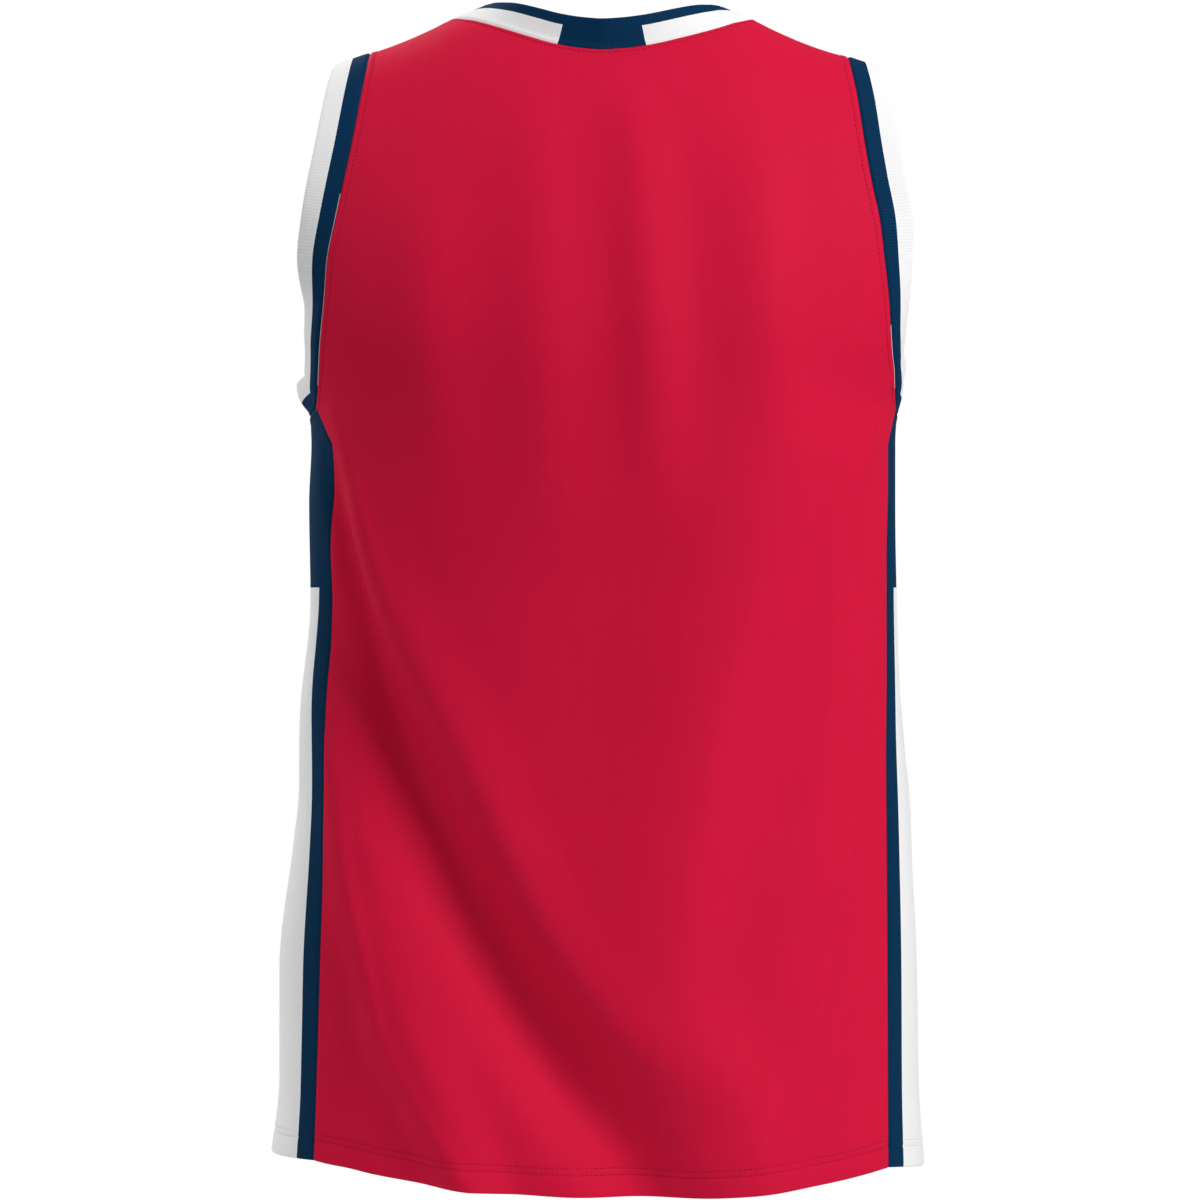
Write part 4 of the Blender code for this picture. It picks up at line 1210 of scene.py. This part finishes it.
def band(frame_of_seam, section, root_lean, edge_lean):
    """Points of a folded band: a row for each point of its section, a column for each station."""
    seam, into, out = frame_of_seam
    distance, height = section
    width = distance.max()
    fine = np.arange(0, width + PAST_THE_EDGE, LEAN_STEP)
    start = ease((fine - LEAN_FROM) / (LEAN_FULL - LEAN_FROM))[:, None]
    share = ease((fine - LEAN_FULL) / (width - LEAN_FULL))[:, None]
    lean = np.radians(root_lean + (edge_lean - root_lean) * share) * start
    step = LEAN_STEP * np.stack([np.cos(lean), np.sin(lean)])
    reach = np.cumsum(step, axis=1) - step
    rows = []
    for at, lift in zip(distance, height):
        near = min(int(at / LEAN_STEP), len(fine) - 2)
        part = at / LEAN_STEP - near
        along_in, along_out = (reach[axis][near] * (1 - part) + reach[axis][near + 1] * part
                               for axis in (0, 1))
        angle = lean[near]
        rows.append(seam + into * (along_in - lift * np.sin(angle))[:, None]
                    + out * (along_out + lift * np.cos(angle))[:, None])
    return np.array(rows)


def band_object(name, frame_of_seam, section, leans, cells):
    """A folded rib band as an object."""
    points = band(frame_of_seam, section, *leans)
    steps = np.diff(np.stack(section, axis=-1), axis=0, prepend=0)
    round_section = np.cumsum(np.linalg.norm(steps, axis=1))
    uv = np.stack(np.broadcast_arrays(measured(frame_of_seam[0])[None], round_section[:, None]),
                  axis=-1)
    return grid_object(name, points, uv, [white_rib, navy_rib], cells, closed=True)


print("a band leans over", round((LEAN_FULL - LEAN_FROM) / MM), "mm")

# %% Armhole trims
TRIM_WIDTH = 24 * MM
TRIM_STRIPE = 11 * MM            # where the trim's navy half ends
ROUNDING = 1e-6                  # far less than a cell, and more than a rounding error
# Heights between which the red stops short of the seam, so that its white ground shows there.
GROUND_SHOWS = {"left": (-228 * MM, -110 * MM), "right": (-228 * MM, -190 * MM)}

trim_section = band_section(TRIM_WIDTH, TRIM_STRIPE)
in_navy = trim_section[0] <= TRIM_STRIPE + ROUNDING
trim_cells = (in_navy & np.roll(in_navy, -1)).astype(int)[:, None]
trims = {}
for side, loop in armholes.items():
    lengths = measured(loop[0], closed=True)
    around = lengths[:-1] / lengths[-1]
    if side == "left":
        around = 1 - around
    leans = [read_table(TRIM_LEAN, "around", end + side, around) for end in ("root_", "edge_")]
    cells = np.repeat(trim_cells, len(around), axis=1)
    low, high = GROUND_SHOWS[side]
    cells[0, (loop[0][:, 2] > low) & (loop[0][:, 2] < high)] = WHITE_CELL
    trims[side] = band_object("armhole_trim_" + side + "_cloth", loop, trim_section, leans, cells)
    print(trims[side].name, round(lengths[-1] / MM), "mm long")

# %% [markdown]
# The collar stands more upright behind the neck than in front. It is white, with a navy edge
# along its fold and a navy block at the middle of the back.

# %% Collar
COLLAR_WIDTH = 20 * MM
COLLAR_STRIPE = 13.2 * MM        # where its navy edge starts

collar_section = band_section(COLLAR_WIDTH, COLLAR_STRIPE)
at_edge = collar_section[0] >= COLLAR_STRIPE - ROUNDING
edge_cells = (at_edge & np.roll(at_edge, -1))[:, None]
block_middle = (neck[0] + np.roll(neck[0], -1, axis=0)) / 2
block_cells = ((abs(block_middle[:, 0]) < BLOCK_HALF) & (block_middle[:, 1] > 0))[None]
collar_lean = read_table(COLLAR_LEAN, "depth", "lean", neck[0][:, 1] / MM)
collar = band_object("collar_band_cloth", neck, collar_section, [collar_lean, collar_lean],
                     (edge_cells | block_cells).astype(int))
print("collar", round(measured(neck[0], closed=True)[-1] / MM), "mm round")

# %% [markdown]
# ## The stitches
#
# Seen from outside, a lockstitch or a cover stitch is a row of short dashes that dive into the
# cloth at both ends. Each dash here is a tapered six-sided tube. One row is a line that lies on
# the cloth, cut into even steps, and all the dashes of a piece are one mesh.

# %% Stitch rows
THREAD = 0.42 * MM               # real thread is about 0.3 mm thick
STITCH_LENGTH = 2.5 * MM
STITCH_STEP = 3.2 * MM
THREAD_SIDES = 6
STITCH_TAPER = {"along": (0, 0.14, 0.5, 0.86, 1), "thickness": (0.3, 0.9, 1, 0.9, 0.3),
                "lift": (-0.5, 0.1, 0.35, 0.1, -0.5)}


def stitch_row(line, out):
    """Points of all the dashes of a row: dashes by rings by sides."""
    lengths = measured(line)
    starts = np.arange(0, lengths[-1] - STITCH_LENGTH, STITCH_STEP)
    at = starts[:, None] + STITCH_LENGTH * np.array(STITCH_TAPER["along"])
    place, up = sampled(line, at.ravel(), lengths), unit(sampled(out, at.ravel(), lengths))
    along = unit(sampled(np.gradient(line, axis=0), at.ravel(), lengths))
    across = unit(np.cross(along, up))
    turn = np.linspace(0, 2 * math.pi, THREAD_SIDES, endpoint=False)
    radius = THREAD / 2 * np.tile(STITCH_TAPER["thickness"], len(starts))
    middle = place + up * (THREAD * np.tile(STITCH_TAPER["lift"], len(starts)))[:, None]
    rim = (across[:, None] * np.cos(turn)[:, None] + up[:, None] * np.sin(turn)[:, None])
    points = middle[:, None] + rim * radius[:, None, None]
    return points.reshape(len(starts), len(STITCH_TAPER["along"]), THREAD_SIDES, 3)


print("stitches", round(STITCH_LENGTH / MM, 1), "mm long,", round(STITCH_STEP / MM, 1), "mm apart")

# %% Stitch meshes
def stitches(name, rows, thread):
    """One object that holds some rows of dashes."""
    dashes = np.concatenate(rows)
    count, rings = dashes.shape[:2]
    numbers = np.arange(dashes[..., 0].size).reshape(count, rings, THREAD_SIDES)
    next_side = np.roll(numbers, -1, axis=2)
    sides = np.stack([numbers[:, :-1], numbers[:, 1:], next_side[:, 1:], next_side[:, :-1]],
                     axis=-1)
    faces = sides.reshape(-1, 4).tolist()
    faces += numbers[:, 0].tolist() + numbers[:, -1, ::-1].tolist()
    corners = [number for face in faces for number in face]
    ring_length = STITCH_LENGTH * np.array(STITCH_TAPER["along"])
    uv = np.stack(np.broadcast_arrays(ring_length[None, :, None],
                                      THREAD * np.arange(THREAD_SIDES) / 2), axis=-1)
    uv = np.broadcast_to(uv, (count, rings, THREAD_SIDES, 2)).reshape(-1, 2)
    print(name, count, "stitches")
    return make_piece(name, dashes.reshape(-1, 3), faces, uv[corners], np.zeros(len(faces), int),
                      [thread])


print("each of", (len(STITCH_TAPER["along"]) - 1) * THREAD_SIDES + 2, "faces")

# %% [markdown]
# The hem's stitches follow two rows of the grid. The topstitching round the neck and the armholes
# keeps a set distance from its seam, so it starts from the seam, steps away from the opening, and
# drops onto the cloth. A BVH tree answers where the nearest cloth is.

# %% Stitches on the hem
WHOLE, WHITE_PART = slice(None), slice(STRIPE_COLUMN, -STRIPE_COLUMN)
STRIPES = slice(0, STRIPE_COLUMN + 1), slice(-STRIPE_COLUMN - 1, None)
hem_rows = [int(np.argmin(abs(NEAR_HEM - needle))) for needle in HEM_NEEDLES]


def hem_stitches(face, columns):
    """Dashes of the hem's rows over some columns of a panel."""
    return [stitch_row(outer[face][row, columns], sheets[face][1][row, columns])
            for row in hem_rows]


sewing = {}
for face in FACES:
    columns, thread = (WHOLE, red_thread) if face in BIG_FACES else (WHITE_PART, white_thread)
    sewing[face] = [stitches("hem_stitches_" + face, hem_stitches(face, columns), thread)]

# %% Topstitching
SHORTEST_RUN = 4                 # stations of a seam; fewer hold no stitch


def cloth_tree(face):
    """A search tree over one panel's outer surface."""
    panel = panels[face].data
    return BVHTree.FromPolygons([tuple(vertex.co) for vertex in panel.vertices],
                                [tuple(polygon.vertices) for polygon in panel.polygons])


def topstitch_runs(frame_of_seam, distance, face):
    """The stretches of a topstitched line that lie on one panel, with their outward directions."""
    seam, into, out = frame_of_seam
    nearest = [{other: cloth_trees[other].find_nearest(point) for other in FACES}
               for point in seam - into * distance]
    on_face = np.array([min(found, key=lambda other: found[other][3]) == face
                        for found in nearest])
    if not on_face.any():
        return []
    start = int(np.argmin(on_face))
    order = np.roll(np.arange(len(seam)), -start)
    runs = np.split(order, np.flatnonzero(np.diff(on_face[order].astype(int))) + 1)
    return [(np.array([nearest[i][face][0] for i in run]), out[run])
            for run in runs if on_face[run[0]]]


cloth_trees = {face: cloth_tree(face) for face in FACES}
topstitched = [(neck, NECK_TOPSTITCH)] + [(loop, ARM_TOPSTITCH) for loop in armholes.values()]
for face in FACES:
    rows = [stitch_row(*run) for loop, distance in topstitched
            for run in topstitch_runs(loop, distance, face) if len(run[0]) > SHORTEST_RUN]
    thread = red_thread
    if face in SIDE_FACES:
        thread = navy_thread
        rows += [row for stripe in STRIPES for row in hem_stitches(face, stripe)]
    sewing[face].append(stitches("topstitches_" + face, rows, thread))

# %% [markdown]
# ## Handing the pieces over
#
# Every piece rides on the one body and takes the place of its solid. Each is a sheet of cloth, so
# its cut is measured too: how wide and long the flat piece is, and its area where that isn't a
# rectangle.

# %% Handing over the panels
def cut_size(face):
    """Width, length and area of a flat panel, measured on its sheet."""
    points, straps = sheets[face][0], 0.0
    if face in BIG_FACES:
        straps = measured(points[corner_row(face):, 0])[-1]
        points = points[:corner_row(face) + 1]
    width = max(measured(row)[-1] for row in points)
    length = max(measured(points[:, column])[-1] for column in range(points.shape[1]))
    area = sum(polygon.area for polygon in panels[face].data.polygons)
    return (width, length + straps), area


for face, panel in panels.items():
    flat, area = cut_size(face)
    area = min(area, flat[0] * flat[1])          # no more than the piece it is cut from
    node = face + "_panel" if face in BIG_FACES else "side_panel_" + face
    slot = "red_knit" if face in BIG_FACES else "side_knit"
    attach(panel, "root")
    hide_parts(node)
    for stitching in sewing[face]:
        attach(stitching, "root")
    print(node, "cut", [round(side / MM) for side in flat], "mm,", round(area, 4), "square metres")

# %% Handing over the bands
BANDS = ((collar, "collar_band", "white_rib", neck, COLLAR_WIDTH),
         (trims["left"], "armhole_trim_left", "navy_rib", armholes["left"], TRIM_WIDTH),
         (trims["right"], "armhole_trim_right", "navy_rib", armholes["right"], TRIM_WIDTH))
for piece, node, slot, loop, width in BANDS:
    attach(piece, "root")
    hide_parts(node)

# %% [markdown]
# ## Floor and light
#
# The jersey hangs in the air, as it would on an invisible figure, over a pale floor. The light is
# that of a white room that is a little brighter towards its ceiling. The key lamp stands high
# behind the jersey on the wearer's right, a weaker one evens out the left, and a third lights the
# front. Large lamps have soft shadows, which is what shows the folds of plain cloth.

# %% Floor
FLOOR_HEIGHT = -1.0
FLOOR_RADIUS = 1.4
FLOOR_SIDES = 96                 # enough for a round edge

disc = bmesh.new()
bmesh.ops.create_circle(disc, cap_ends=True, segments=FLOOR_SIDES, radius=FLOOR_RADIUS)
floor_mesh = bpy.data.meshes.new("floor")
disc.to_mesh(floor_mesh)
disc.free()
floor = put("floor", floor_mesh)
floor.location.z = FLOOR_HEIGHT
paint = bpy.data.materials.new("matt white floor paint")
paint.use_nodes = True
fill(paint.node_tree.nodes["Principled BSDF"],
     {"Base Color": linear("F0F0F0"), "Roughness": 0.9})
floor_mesh.materials.append(paint)
print("floor", round(2 * FLOOR_RADIUS, 1), "m across")

# %% Light
AIM = Vector((0, 0, -0.35))
LIGHT_BELOW = 0.13               # how bright the room is on the cloth, from straight below
LIGHT_ABOVE = 0.29               # and from straight above
ROOM_SEEN = 1.0                  # and how bright its walls look
LAMP_SIZE = 1.2                  # side of each lamp's square


def soft_lamp(name, place, power):
    """A large square lamp that points at the jersey."""
    light = bpy.data.lights.new(name, "AREA")
    light.shape = "SQUARE"
    light.size = LAMP_SIZE
    light.energy = power
    lamp = put(name, light)
    lamp.location = place
    lamp.rotation_euler = (AIM - lamp.location).to_track_quat("-Z", "Y").to_euler()
    print(name, power, "W")


soft_lamp("key lamp", (-1.9, 1.6, 1.38), 72)
soft_lamp("side lamp", (2.6, 0.0, 1.7), 34)
soft_lamp("front lamp", (1.8, -2.2, 1.5), 46)

room = bpy.data.worlds.new("white room")
bpy.context.scene.world = room
room.use_nodes = True
direction = add(room, "TexCoord", {}).outputs["Generated"]
height = add(room, "SeparateXYZ", {"Vector": direction}).outputs["Z"]
glow = add(room, "MapRange", {"Value": height, "From Min": -1.0, "To Min": LIGHT_BELOW,
                              "To Max": LIGHT_ABOVE})
seen = add(room, "LightPath", {}).outputs["Is Camera Ray"]
level = add(room, "MapRange", {"Value": seen, "To Min": glow.outputs[0], "To Max": ROOM_SEEN})
fill(room.node_tree.nodes["Background"],
     {"Color": (1, 1, 1, 1), "Strength": level.outputs[0]})

bpy.context.scene.view_settings.view_transform = "Standard"
